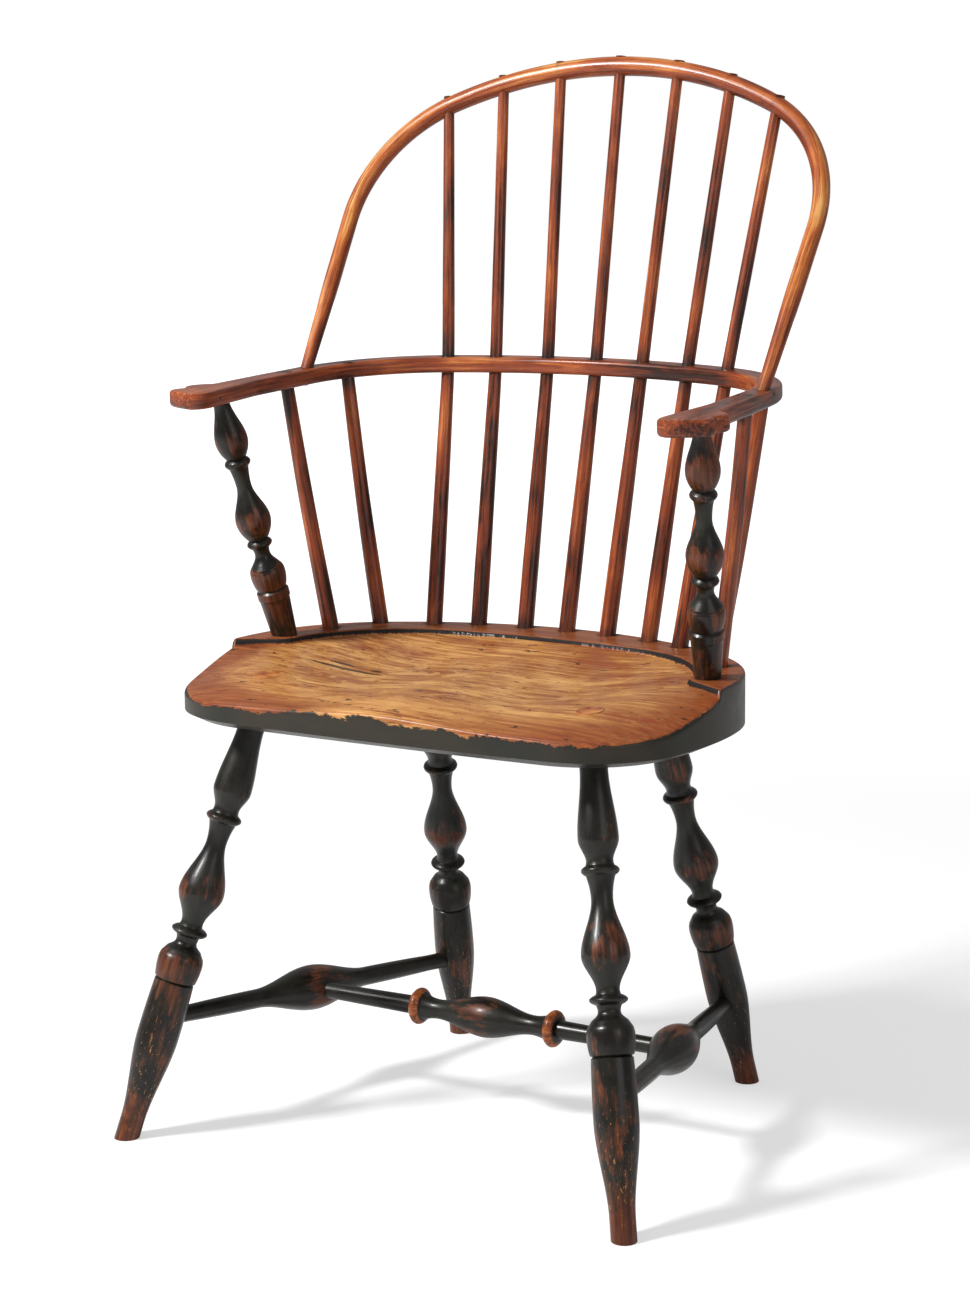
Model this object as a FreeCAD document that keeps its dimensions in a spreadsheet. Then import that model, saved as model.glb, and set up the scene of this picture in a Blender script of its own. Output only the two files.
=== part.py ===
import FreeCAD, Part
import math
import os

import Sketcher
from FreeCAD import Placement, Rotation, Vector

# Sack-back windsor armchair: a saddled plank seat on four turned legs, two turned arm posts,
# a bent arm rail, a bent bow and eleven spindles. Millimetres, +Z up, floor at Z = 0.
# The sitter faces -Y, the chair is mirrored about X = 0, and the left side is the -X side.

os.makedirs("parts", exist_ok=True)
doc = FreeCAD.newDocument("windsor_chair")
sheet = doc.addObject("Spreadsheet::Sheet", "sizes")

SIZES = {
    # fits
    "fit_clearance": 0.05,
    "spare_depth": 1.0,
    "cut_overrun": 20,
    # seat plank, seen in plan as tangent arcs
    "seat_top": 440,
    "seat_thickness": 52,
    "seat_front": -207,
    "seat_rear": 146,
    "seat_half_width": 259,
    "seat_widest_at": -66,
    "seat_front_radius": 2400,
    "seat_corner_radius": 92,
    "seat_side_radius": 300,
    "seat_shoulder_radius": 158,
    "seat_rear_radius": 340,
    "seat_bevel_height": 6,
    "seat_bevel_inset": 13,
    # groove between the saddle and the spindle deck
    "groove_width": 5,
    "groove_depth": 3.2,
    "groove_crown": 89,
    "groove_back_radius": 800,
    "groove_shoulder_radius": 133,
    "groove_shoulder_centre": 79,
    "groove_ogee_radius": 22,
    "groove_ogee_start_angle": 12,
    "groove_exit_angle": 30,
    "groove_overrun": 12,
    # legs: where each axis meets the floor and the underside of the seat
    "front_foot_x": 261,
    "front_foot_y": -235.6,
    "front_leg_top_x": 177,
    "front_leg_top_y": -136.7,
    "rear_foot_x": 162.8,
    "rear_foot_y": 195.5,
    "rear_leg_top_x": 123,
    "rear_leg_top_y": 86.3,
    "rear_tenon_cover": 10,
    # arm posts: where each axis meets the seat top and the underside of the arm rail
    "post_foot_x": 226,
    "post_foot_y": -16.3,
    "post_top_x": 250.6,
    "post_top_y": -78.2,
    "post_tenon_cover": 5,
    # stretchers
    "side_stretcher_front_height": 110,
    "side_stretcher_rear_height": 85,
    "side_stretcher_bulb_share": 0.485,
    "stretcher_tenon_past_axis": 8,
    # arm rail, drawn in its own sloping plane
    "rail_top": 686.8,
    "rail_slope": 2.75,
    "rail_thickness": 15,
    "rail_edge_chamfer": 2.4,
    "rail_crown": 189,
    "rail_back_radius": 470,
    "rail_bend_radius": 135,
    "rail_bend_centre": 106.9,
    "rail_half_width_in": 12,
    "rail_half_width_out": 13,
    "rail_splay": 4,
    "rail_arris_x": 260,
    "rail_arris_y": -2,
    "hand_seam_x": 266,
    "hand_seam_rear_y": -72,
    "hand_seam_front_y": -127,
    "hand_front_x": 250,
    "hand_front_y": -134,
    "hand_inner_x": 231,
    "hand_inner_y": -119,
    "hand_corner_radius": 13,
    "hand_waist_x": 235.5,
    "hand_waist_y": -40,
    # lobed blocks outside the seams of the hand-holds
    "block_nose_x": 277,
    "block_nose_y": -121,
    "block_nose_length": 8,
    "block_nose_radius": 7,
    "block_cusp_x": 275,
    "block_cusp_y": -102,
    "block_lobe_radius": 16.5,
    # bow, drawn in its own leaning plane, with heights above the arm rail's top
    "bow_foot_x": 243.5,
    "bow_foot_y": 54.6,
    "bow_lean": 33,
    "bow_crown_height": 338,
    "bow_half_width": 250.5,
    "bow_crown_radius": 380,
    "bow_bend_radius": 142,
    "bow_crown_diameter": 18.6,
    "bow_shoulder_diameter": 17.4,
    "bow_side_diameter": 15.6,
    "bow_end_diameter": 12,
    # spindles
    "spindle_seat_diameter": 15.8,
    "spindle_rail_diameter": 12.2,
    "spindle_bow_diameter": 10.4,
    "spindle_tenon_depth": 28,
    "spindle_tenon_extra": 3,
    "short_spindle_waist_diameter": 14.4,
    "short_spindle_rail_diameter": 12.6,
    "short_spindle_flex": 2,
    # wedges in the ends of through tenons, and pins
    "wedge_head": 2.2,
    "wedge_tip": 0.8,
    "wedge_length": 16,
    "wedge_proud": 4,
    "wedge_side_margin": 0.9,
    "pin_diameter": 3,
    "bow_socket_flat": 12,
    "bow_end_spare": 40,
    "bow_end_straight": 6,
    "bow_pin_length": 17,
    "bow_pin_below_top": 4.2,
    "hand_pin_length": 38,
    "hand_pin_y": -105,
    "hand_pin_sunk": 0.3,
}

# The saddle is shaped by cross sections from front to rear: heights of the seat top at the
# centre, in the two scoops, on the two shoulders and at the two edges.
SADDLE_ACROSS = {"centre": 0, "scoop": 100, "shoulder": 190, "edge": 285}
SADDLE_SECTIONS = {
    "lip": {"y": -235, "centre": 411, "scoop": 406, "shoulder": 398, "edge": 384},
    "front": {"y": -172, "centre": 425, "scoop": 419, "shoulder": 417, "edge": 396},
    "thigh": {"y": -109, "centre": 426, "scoop": 421, "shoulder": 427, "edge": 412},
    "middle": {"y": -39, "centre": 423, "scoop": 420, "shoulder": 431, "edge": 436},
    "rear": {"y": 31, "centre": 426, "scoop": 425, "shoulder": 435, "edge": 441},
    "back": {"y": 101, "centre": 439, "scoop": 439, "shoulder": 441, "edge": 443},
}

# Long spindles: where each one meets the seat top, the arm rail and the bow.
LONG_SPINDLES = {
    "outer": {"seat_x": 134.3, "seat_y": 106.5, "rail_x": 151.5, "rail_y": 165.0, "bow_x": 178.5},
    "second": {"seat_x": 93.3, "seat_y": 122.5, "rail_x": 104.5, "rail_y": 177.0, "bow_x": 123.5},
    "third": {"seat_x": 45.1, "seat_y": 129.5, "rail_x": 51.5, "rail_y": 186.0, "bow_x": 63.8},
    "middle": {"seat_x": 0, "seat_y": 131.0, "rail_x": 0, "rail_y": 189.0, "bow_x": 0},
}
SHORT_SPINDLES = {
    "front": {"seat_x": 209.4, "seat_y": 37.9, "rail_x": 245.0, "rail_y": 18.8},
    "rear": {"seat_x": 183.6, "seat_y": 86.3, "rail_x": 225.5, "rail_y": 95.5},
}

# Turned profiles: station name, height along the axis, diameter, and whether the outline runs
# parallel to the axis there, as on a swelling or in a neck.
LEG_STATIONS = [
    ("foot", -14, 23, False),
    ("ankle", 18, 22.8, True),
    ("calf", 100, 39, True),
    ("calf_top", 150.5, 34.6, False),
    ("scribe", 153, 31.4, False),
    ("ball_base", 156, 34.5, False),
    ("ball", 169.5, 42, True),
    ("ball_top", 186, 22, False),
    ("lower_neck", 191, 19.6, False),
    ("lower_ring_base", 196.5, 22, False),
    ("lower_ring", 199, 33.4, False),
    ("lower_ring_edge", 202.5, 33.4, False),
    ("lower_ring_top", 205, 22, False),
    ("vase_base", 208, 20.4, True),
    ("vase", 238, 42.5, True),
    ("vase_neck", 286, 19, True),
    ("vase_lip", 305, 25, False),
    ("upper_ring", 308.5, 33, False),
    ("upper_ring_edge", 312, 33, False),
    ("upper_ring_top", 315, 24.4, False),
    ("upper_vase_base", 318, 23.4, True),
    ("upper_vase", 338, 35.4, True),
    ("tenon_base", 396, 24.6, True),
    ("tenon", 480, 24.6, False),
]
POST_STATIONS = [
    ("tenon", -75, 22.4, False),
    ("plug_base", 4, 22.4, False),
    ("plug_top", 38, 28.6, False),
    ("collar_base", 40.5, 31, False),
    ("collar_top", 46, 31, False),
    ("collar_neck", 49, 27, False),
    ("ball", 63, 33.8, True),
    ("ball_top", 78, 18, False),
    ("lower_neck", 85, 14.6, False),
    ("lower_ring_base", 91, 17, False),
    ("lower_ring", 93, 24, False),
    ("lower_ring_edge", 96, 24, False),
    ("lower_ring_top", 98, 18, False),
    ("vase", 119, 33.7, True),
    ("vase_neck", 153, 14.4, True),
    ("upper_ring_base", 172, 19, False),
    ("upper_ring", 174.5, 24.4, False),
    ("upper_ring_edge", 178, 24.4, False),
    ("upper_ring_top", 180, 18, False),
    ("upper_vase", 199, 31, True),
    ("top_tenon_base", 235, 15.3, True),
    ("top_tenon", 264, 15.3, False),
]
# Heights on the stretchers are measured from the middle of the bulb towards each end.
SIDE_STRETCHER_STATIONS = [
    ("bulb", 0, 43, True),
    ("shank", 70, 18.2, True),
    ("tenon_base", 158, 15.6, False),
    ("tenon", 225, 15.6, False),
]
MEDIAL_STRETCHER_STATIONS = [
    ("bulb", 0, 38, True),
    ("neck", 50, 18.4, True),
    ("cove", 66, 24, False),
    ("ring_inner", 70.5, 33, False),
    ("ring", 73, 34.6, False),
    ("ring_outer", 76, 33, False),
    ("shank", 77.5, 17, False),
    ("tenon_base", 165, 15.4, False),
    ("tenon", 225, 15.4, False),
]
BOW_STEPS_PER_BEND = 6

# Cutting blocks, larger than what they cut, and tolerances of comparisons.
END_CUT = 90
SLAB_WIDTH = 900
SLAB_HEIGHT = 60
SAME_PLACE = 0.2
SAME_HEADING = 1e-6

SIDES = {"left": -1, "right": 1}

holes = {}
nodes = []


def put_sizes():
    """Write every driving size into the sheet, one alias per row."""
    rows = dict(SIZES)
    tables = {"spindle": LONG_SPINDLES, "short_spindle": SHORT_SPINDLES, "saddle": SADDLE_SECTIONS}
    for kind, table in tables.items():
        for key, sizes in table.items():
            rows.update({f"{kind}_{key}_{name}": value for name, value in sizes.items()})
    rows.update({f"saddle_across_{name}": value for name, value in SADDLE_ACROSS.items()})
    turned = {
        "leg": LEG_STATIONS,
        "post": POST_STATIONS,
        "side_stretcher": SIDE_STRETCHER_STATIONS,
        "medial_stretcher": MEDIAL_STRETCHER_STATIONS,
    }
    for prefix, stations in turned.items():
        for name, height, diameter, _ in stations:
            rows[f"{prefix}_{name}_height"] = height
            rows[f"{prefix}_{name}_diameter"] = diameter
    for row, (alias, value) in enumerate(rows.items(), start=1):
        sheet.set(f"A{row}", alias)
        sheet.set(f"B{row}", str(value))
        sheet.setAlias(f"B{row}", alias)
    doc.recompute()


def size(alias):
    """Value of one named size."""
    return float(sheet.get(alias))


def mirrored(point, side):
    """The point on one side of the chair: side is 1 for +X and -1 for -X."""
    return Vector(side * point.x, point.y, point.z)


def aim(start, end):
    """Placement whose local +Z runs from start towards end."""
    return Placement(start, Rotation(Vector(0, 0, 1), end - start))


def unit(vector):
    """Copy of a vector with length one."""
    return vector * (1 / vector.Length)


def beyond_end(start, end, distance):
    """Point on the line from start to end, a distance past end."""
    return end + unit(end - start) * distance


def point_at_height(start, end, height):
    """Point where the line through start and end reaches a height above the floor."""
    return start + (end - start) * ((height - start.z) / (end.z - start.z))


def smooth_step(share):
    """Rise from 0 to 1 that is level at both ends."""
    return share * share * (3 - 2 * share)


def share_formula(first, last, share):
    """Formula of a size part of the way from one named size to another."""
    return f"(sizes.{first} + (sizes.{last} - sizes.{first}) * {share})"


def origin_plane(body, role):
    """One of the body's own origin planes, found by its role."""
    return next(item for item in body.Origin.OriginFeatures if item.Role == role)


def new_sketch(body, name, role):
    """Empty sketch on one of the body's origin planes."""
    sketch = body.newObject("Sketcher::SketchObject", name)
    sketch.AttachmentSupport = (origin_plane(body, role), "")
    sketch.MapMode = "FlatFace"
    return sketch


def arc_between(start, end, centre):
    """Shorter arc from start to end about a centre, and its end numbers in that order."""
    first = math.atan2(start.y - centre.y, start.x - centre.x)
    last = math.atan2(end.y - centre.y, end.x - centre.x)
    turn = (last - first) % (2 * math.pi)
    circle = Part.Circle(centre, Vector(0, 0, 1), (start - centre).Length)
    if turn < math.pi:
        return Part.ArcOfCircle(circle, first, first + turn), 1, 2
    return Part.ArcOfCircle(circle, last, last + 2 * math.pi - turn), 2, 1


def pin_point(sketch, index, position, point, formulas=("", "")):
    """Fix one sketch point by its X and Y distances from the origin, bound to formulas if given."""
    distances = (("DistanceX", point.x), ("DistanceY", point.y))
    for (kind, value), formula in zip(distances, formulas):
        number = sketch.addConstraint(Sketcher.Constraint(kind, -1, 1, index, position, value))
        if formula:
            sketch.setExpression(f"Constraints[{number}]", formula)


def draw_outline(sketch, corners, arcs, closed=True):
    """Join corners by lines, or by arcs: arcs maps a corner's number to a centre and a radius name."""
    steps = len(corners) if closed else len(corners) - 1
    drawn = []
    for step in range(steps):
        start = corners[step]
        end = corners[(step + 1) % len(corners)]
        if step in arcs:
            curve, first, last = arc_between(start, end, arcs[step][0])
        else:
            curve, first, last = Part.LineSegment(start, end), 1, 2
        drawn.append((sketch.addGeometry(curve, False), first, last))
    for step, (index, first, last) in enumerate(drawn):
        pin_point(sketch, index, first, corners[step])
        if step in arcs:
            centre, radius_name = arcs[step]
            radius = (corners[step] - centre).Length
            number = sketch.addConstraint(Sketcher.Constraint("Radius", index, radius))
            if radius_name:
                sketch.setExpression(f"Constraints[{number}]", f"sizes.{radius_name}")
        if closed or step + 1 < steps:
            after, after_first, _ = drawn[(step + 1) % steps]
            sketch.addConstraint(Sketcher.Constraint("Coincident", index, last, after, after_first))
        else:
            pin_point(sketch, index, last, corners[-1])


def padded(name, corners, arcs, length, placement, downwards=False):
    """Body padded from one closed outline by a length formula."""
    body = doc.addObject("PartDesign::Body", name)
    sketch = new_sketch(body, name + "_outline", "XY_Plane")
    draw_outline(sketch, corners, arcs)
    pad = body.newObject("PartDesign::Pad", name + "_pad")
    pad.Profile = sketch
    pad.setExpression("Length", length)
    pad.Reversed = downwards
    body.Tip = pad
    body.Placement = placement
    doc.recompute()
    return body


def mirrored_outline(right, right_arcs, crossing_arcs):
    """Outline closed by mirroring its right half, with the arcs of both halves and across them."""
    corners = right + [mirrored(point, -1) for point in reversed(right)]
    arcs = dict(right_arcs)
    for step, (centre, radius_name) in right_arcs.items():
        arcs[len(corners) - 2 - step] = (mirrored(centre, -1), radius_name)
    arcs.update(crossing_arcs)
    return corners, arcs


def blend(prefix, name, after, height_share, radius_share):
    """Outline point part of the way from one station to the next, with its two formulas."""
    values = []
    formulas = []
    for kind, share, scale in (("diameter", radius_share, 0.5), ("height", height_share, 1)):
        here = f"{prefix}_{name}_{kind}"
        there = f"{prefix}_{after}_{kind}"
        values.append((size(here) + (size(there) - size(here)) * share) * scale)
        formulas.append(f"{share_formula(here, there, share)} * {scale}")
    return Vector(values[0], values[1], 0), formulas


def lathe_points(prefix, stations):
    """Half outline of a turned piece: points, each with the formulas of its radius and height."""
    points = []
    for (name, _, _, flat), (after, _, _, after_flat) in zip(stations, stations[1:]):
        shares = [(0, 0)]
        if flat and after_flat:
            shares += [(share, smooth_step(share)) for share in (0.25, 0.75)]
        elif flat:
            shares.append((0.5, 0.25))
        elif after_flat:
            shares.append((0.5, 0.75))
        points += [blend(prefix, name, after, *pair) for pair in shares]
    last = stations[-1][0]
    points.append(blend(prefix, last, last, 0, 0))
    return points


def turned_body(name, prefix, stations, placement, twin=False):
    """Body turned about its own Z axis, mirrored end for end where twin is true."""
    body = doc.addObject("PartDesign::Body", name)
    sketch = new_sketch(body, name + "_profile", "XZ_Plane")
    points = lathe_points(prefix, stations)
    outline = [point for point, _ in points]
    formulas = [pair for _, pair in points]
    corners = [Vector(0, outline[0].y, 0)] + outline + [Vector(0, outline[-1].y, 0)]
    bound = [("", formulas[0][1])] + formulas + [("", formulas[-1][1])]
    count = len(corners)
    for step, start in enumerate(corners):
        sketch.addGeometry(Part.LineSegment(start, corners[(step + 1) % count]), False)
    for step, start in enumerate(corners):
        sketch.addConstraint(Sketcher.Constraint("Coincident", step, 2, (step + 1) % count, 1))
        pin_point(sketch, step, 1, start, bound[step])
    turn = body.newObject("PartDesign::Revolution", name + "_turning")
    turn.Profile = sketch
    turn.ReferenceAxis = (sketch, ["V_Axis"])
    turn.Angle = 360
    body.Tip = turn
    if twin:
        other = body.newObject("PartDesign::Mirrored", name + "_other_half")
        other.Originals = [turn]
        other.MirrorPlane = (origin_plane(body, "XY_Plane"), [""])
        body.Tip = other
    body.Placement = placement
    return body


def bore(name, diameter_name, start, end):
    """Drill of a tenon's diameter plus the fit clearance, from start to end."""
    item = doc.addObject("Part::Cylinder", name)
    item.setExpression("Radius", f"sizes.{diameter_name} / 2 + sizes.fit_clearance")
    item.Height = (end - start).Length
    item.Placement = aim(start, end)
    return item


def box(name, length, width, height, placement):
    """Plain box, used only to trim other pieces."""
    item = doc.addObject("Part::Box", name)
    item.Length = length
    item.Width = width
    item.Height = height
    item.Placement = placement
    return item


def square_cut(name, spot, direction):
    """Everything near a spot on the far side of the plane square to a direction."""
    shift = Placement(Vector(-END_CUT / 2, -END_CUT / 2, 0), Rotation())
    return box(name, END_CUT, END_CUT, END_CUT, aim(spot, spot + direction) * shift)


def slab(name, frame, low):
    """Everything near the chair from a level of a plane upwards."""
    shift = Placement(Vector(-SLAB_WIDTH / 2, -SLAB_WIDTH / 2, low), Rotation())
    return box(name, SLAB_WIDTH, SLAB_WIDTH, SLAB_HEIGHT, frame * shift)


def joined(name, items):
    """Union of several objects."""
    item = doc.addObject("Part::MultiFuse", name)
    item.Shapes = items
    return item


def add_hole(receiver, tool):
    """Note a tool that is to be cut out of a piece."""
    holes.setdefault(receiver, []).append(tool)


def finish(name, base):
    """Cut every noted tool out of a piece and give it its own name."""
    tools = holes[name]
    item = doc.addObject("Part::Cut", name)
    item.Base = base
    item.Tool = tools[0] if len(tools) == 1 else joined(name + "_tools", tools)
    item.Label = name
    nodes.append(item)


def finish_group(name, items):
    """Join loose small pieces of one kind under one name."""
    item = joined(name, items)
    item.Label = name
    nodes.append(item)


def tangent_centre(first, first_reach, second, second_reach):
    """Point at the given distances from two centres, on the +X side."""
    gap = second - first
    along = (first_reach ** 2 - second_reach ** 2 + gap.Length ** 2) / (2 * gap.Length)
    across = math.sqrt(first_reach ** 2 - along ** 2)
    forward = unit(gap)
    sideways = Vector(-forward.y, forward.x, 0) * across
    options = (first + forward * along + sideways, first + forward * along - sideways)
    return max(options, key=lambda point: point.x)


def outward(centre, other, radius):
    """Point of the circle about centre on the line that comes from the other centre."""
    return centre + unit(centre - other) * radius


def corner_centre(start, end, radius):
    """Centre of an arc of the given radius from start to end that bulges to the left of them."""
    half = (end - start) * 0.5
    depth = math.sqrt(radius ** 2 - half.Length ** 2)
    return start + half + unit(Vector(half.y, -half.x, 0)) * depth


def wedge(name, width_name, head, direction, across, receiver):
    """Wedge with its thick end at head, and its kerf in the tenon that it spreads."""
    item = doc.addObject("Part::Wedge", name)
    half = f"(sizes.{width_name} / 2 - sizes.wedge_side_margin)"
    limits = {
        "Xmin": "-" + half,
        "Xmax": half,
        "X2min": "-" + half,
        "X2max": half,
        "Ymin": "0",
        "Ymax": "sizes.wedge_length",
        "Zmin": "-sizes.wedge_head / 2",
        "Zmax": "sizes.wedge_head / 2",
        "Z2min": "-sizes.wedge_tip / 2",
        "Z2max": "sizes.wedge_tip / 2",
    }
    for limit, formula in limits.items():
        item.setExpression(limit, formula)
    along = unit(direction)
    sideways = unit(across - along * across.dot(along))
    item.Placement = Placement(head, Rotation(sideways, along, sideways.cross(along), "XYZ"))
    add_hole(receiver, item)
    return item


def pin(name, start, direction, length_name, pinned):
    """Round pin driven into the arm rail and one more piece, with a bore in both."""
    item = doc.addObject("Part::Cylinder", name)
    item.setExpression("Radius", "sizes.pin_diameter / 2")
    item.setExpression("Height", f"sizes.{length_name}")
    item.Placement = aim(start, start + direction)
    mouth = start - unit(direction) * 2
    end = start + unit(direction) * (size(length_name) + size("spare_depth"))
    drill = bore(name + "_bore", "pin_diameter", mouth, end)
    add_hole("arm_rail", drill)
    add_hole(pinned, drill)
    return item


def rail_frame():
    """Placement of the arm rail's plane: its top face is at the local Z = 0."""
    rise = Rotation(Vector(1, 0, 0), size("rail_slope"))
    return Placement(Vector(0, 0, size("rail_top")), rise)


def on_rail(x, y, below):
    """Point at X and Y of the chair, a distance below the arm rail's top face."""
    slope = math.radians(size("rail_slope"))
    level = Vector(x, (y - below * math.sin(slope)) / math.cos(slope), -below)
    return rail_frame().multVec(level)


def point_under_rail(start, end, below):
    """Point of the line through start and end, a distance below the arm rail's top face."""
    into_rail = rail_frame().inverse()
    low = into_rail.multVec(start).z
    high = into_rail.multVec(end).z
    return start + (end - start) * ((-below - low) / (high - low))


def rail_arcs():
    """Centres of the arm rail's crown and of its right bend, in its own plane."""
    crown_centre = Vector(0, size("rail_crown") - size("rail_back_radius"), 0)
    reach = size("rail_back_radius") - size("rail_bend_radius")
    across = size("rail_bend_centre")
    return crown_centre, Vector(across, crown_centre.y + math.sqrt(reach ** 2 - across ** 2), 0)


def bow_frame():
    """Placement of the bow's plane: local X across the chair, local Y up the lean."""
    lean = Rotation(Vector(1, 0, 0), 90 - size("bow_lean"))
    return Placement(on_rail(0, size("bow_foot_y"), 0), lean)


def bow_arcs():
    """Centres of the bow's crown and right bend, and the bend's upper and lower ends."""
    crown_centre = Vector(0, size("bow_crown_height") - size("bow_crown_radius"), 0)
    radius = size("bow_bend_radius")
    across = size("bow_half_width") - radius
    reach = size("bow_crown_radius") - radius
    bend_centre = Vector(across, crown_centre.y + math.sqrt(reach ** 2 - across ** 2), 0)
    upper = outward(bend_centre, crown_centre, radius)
    to_foot = Vector(size("bow_foot_x"), 0, 0) - bend_centre
    heading = math.atan2(to_foot.y, to_foot.x) + math.acos(radius / to_foot.Length)
    lower = bend_centre + Vector(math.cos(heading), math.sin(heading), 0) * radius
    return crown_centre, bend_centre, upper, lower


def angle_about(centre, point):
    """Direction of a point seen from a centre, in radians."""
    return math.atan2(point.y - centre.y, point.x - centre.x)


def bow_at(x):
    """Centre line of the bow at X: point and outward direction in its plane, diameter, formula."""
    crown_centre, bend_centre, upper, lower = bow_arcs()
    if abs(x) <= upper.x:
        centre, radius, near, far = crown_centre, size("bow_crown_radius"), "crown", "shoulder"
        first, last = math.pi / 2, angle_about(crown_centre, upper)
    else:
        centre, radius, near, far = bend_centre, size("bow_bend_radius"), "shoulder", "side"
        first, last = angle_about(bend_centre, upper), angle_about(bend_centre, lower)
    angle = math.acos((abs(x) - centre.x) / radius)
    share = (angle - first) / (last - first)
    near = f"bow_{near}_diameter"
    far = f"bow_{far}_diameter"
    diameter = size(near) + (size(far) - size(near)) * share
    side = -1 if x < 0 else 1
    outer = mirrored(Vector(math.cos(angle), math.sin(angle), 0), side)
    spot = mirrored(centre, side) + outer * radius
    return spot, outer, diameter, share_formula(near, far, share)


def leg_ends(where, side):
    """Points where a leg's axis meets the floor and the underside of the seat."""
    foot = Vector(side * size(f"{where}_foot_x"), size(f"{where}_foot_y"), 0)
    top = Vector(side * size(f"{where}_leg_top_x"), size(f"{where}_leg_top_y"), underside)
    return foot, top


def joint_point(where, side):
    """Where a side stretcher's axis meets a leg's axis."""
    foot, top = leg_ends(where, side)
    return point_at_height(foot, top, size(f"side_stretcher_{where}_height"))


def bulb_point(side):
    """Middle of a side stretcher's bulb."""
    front = joint_point("front", side)
    return front + (joint_point("rear", side) - front) * size("side_stretcher_bulb_share")


def seat_plank():
    """Plank with its bevelled underside, before any carving."""
    front = Vector(0, size("seat_front") + size("seat_front_radius"), 0)
    rear = Vector(0, size("seat_rear") - size("seat_rear_radius"), 0)
    side = Vector(size("seat_half_width") - size("seat_side_radius"), size("seat_widest_at"), 0)
    corner_radius = size("seat_corner_radius")
    shoulder_radius = size("seat_shoulder_radius")
    side_radius = size("seat_side_radius")
    corner = tangent_centre(
        front, size("seat_front_radius") - corner_radius, side, side_radius - corner_radius
    )
    shoulder = tangent_centre(
        rear, size("seat_rear_radius") - shoulder_radius, side, side_radius - shoulder_radius
    )
    right = [
        outward(corner, front, corner_radius),
        outward(corner, side, corner_radius),
        outward(shoulder, side, shoulder_radius),
        outward(shoulder, rear, shoulder_radius),
    ]
    right_arcs = {
        0: (corner, "seat_corner_radius"),
        1: (side, "seat_side_radius"),
        2: (shoulder, "seat_shoulder_radius"),
    }
    crossing = {3: (rear, "seat_rear_radius"), 7: (front, "seat_front_radius")}
    corners, arcs = mirrored_outline(right, right_arcs, crossing)
    level = Placement(Vector(0, 0, underside), Rotation())
    body = padded("seat_plank", corners, arcs, "sizes.seat_thickness", level)
    pad = body.Tip
    faces = pad.Shape.Faces
    lowest = min(range(len(faces)), key=lambda number: faces[number].CenterOfMass.z)
    bevel = body.newObject("PartDesign::Chamfer", "seat_bevel")
    bevel.Base = (pad, [f"Face{lowest + 1}"])
    bevel.ChamferType = "Two distances"
    bevel.setExpression("Size", "sizes.seat_bevel_inset")
    bevel.setExpression("Size2", "sizes.seat_bevel_height")
    body.Tip = bevel
    return body


def groove_line():
    """Centre line of the groove in plan, from the right edge of the seat to the left one."""
    crown_centre = Vector(0, size("groove_crown") - size("groove_back_radius"), 0)
    radius = size("groove_shoulder_radius")
    across = size("groove_shoulder_centre")
    reach = size("groove_back_radius") - radius
    shoulder = Vector(across, crown_centre.y + math.sqrt(reach ** 2 - across ** 2), 0)
    back_end = outward(shoulder, crown_centre, radius)
    start = math.radians(size("groove_ogee_start_angle"))
    side = Vector(math.cos(start), math.sin(start), 0)
    ogee_start = shoulder + side * radius
    ogee = ogee_start + side * size("groove_ogee_radius")
    exit_angle = math.radians(size("groove_exit_angle"))
    inward = Vector(math.sin(exit_angle), math.cos(exit_angle), 0)
    ogee_end = ogee - inward * size("groove_ogee_radius")
    run = (size("seat_half_width") + size("groove_overrun") - ogee_end.x) / math.cos(exit_angle)
    edge = ogee_end + Vector(inward.y, -inward.x, 0) * run
    right_arcs = {
        1: (ogee, "groove_ogee_radius"),
        2: (shoulder, "groove_shoulder_radius"),
    }
    crossing = {3: (crown_centre, "groove_back_radius")}
    return mirrored_outline([edge, ogee_end, ogee_start, back_end], right_arcs, crossing)


def saddle_tool():
    """Everything above the carved seat top, in front of the groove."""
    names = list(SADDLE_ACROSS)
    columns = [(name, -size(f"saddle_across_{name}")) for name in names[:0:-1]]
    columns += [(name, size(f"saddle_across_{name}")) for name in names]
    grid = []
    for name, x in columns:
        row = [(size(f"saddle_{key}_y"), size(f"saddle_{key}_{name}")) for key in SADDLE_SECTIONS]
        grid.append([Vector(x, y, z) for y, z in row])
    surface = Part.BSplineSurface()
    surface.interpolate(grid)
    hollow = doc.addObject("Part::Feature", "saddle_hollow")
    hollow.Shape = surface.toShape().extrude(Vector(0, 0, size("seat_thickness") * 2))
    hollow.Placement = Placement()
    corners, arcs = groove_line()
    ahead = size("seat_front") - size("cut_overrun")
    corners += [Vector(corners[-1].x, ahead, 0), Vector(corners[0].x, ahead, 0)]
    level = Placement(Vector(0, 0, underside - size("cut_overrun")), Rotation())
    plan = padded("saddle_plan", corners, arcs, "sizes.seat_thickness * 2", level)
    tool = doc.addObject("Part::Common", "saddle_tool")
    tool.Base = hollow
    tool.Tool = plan
    return tool


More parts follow.
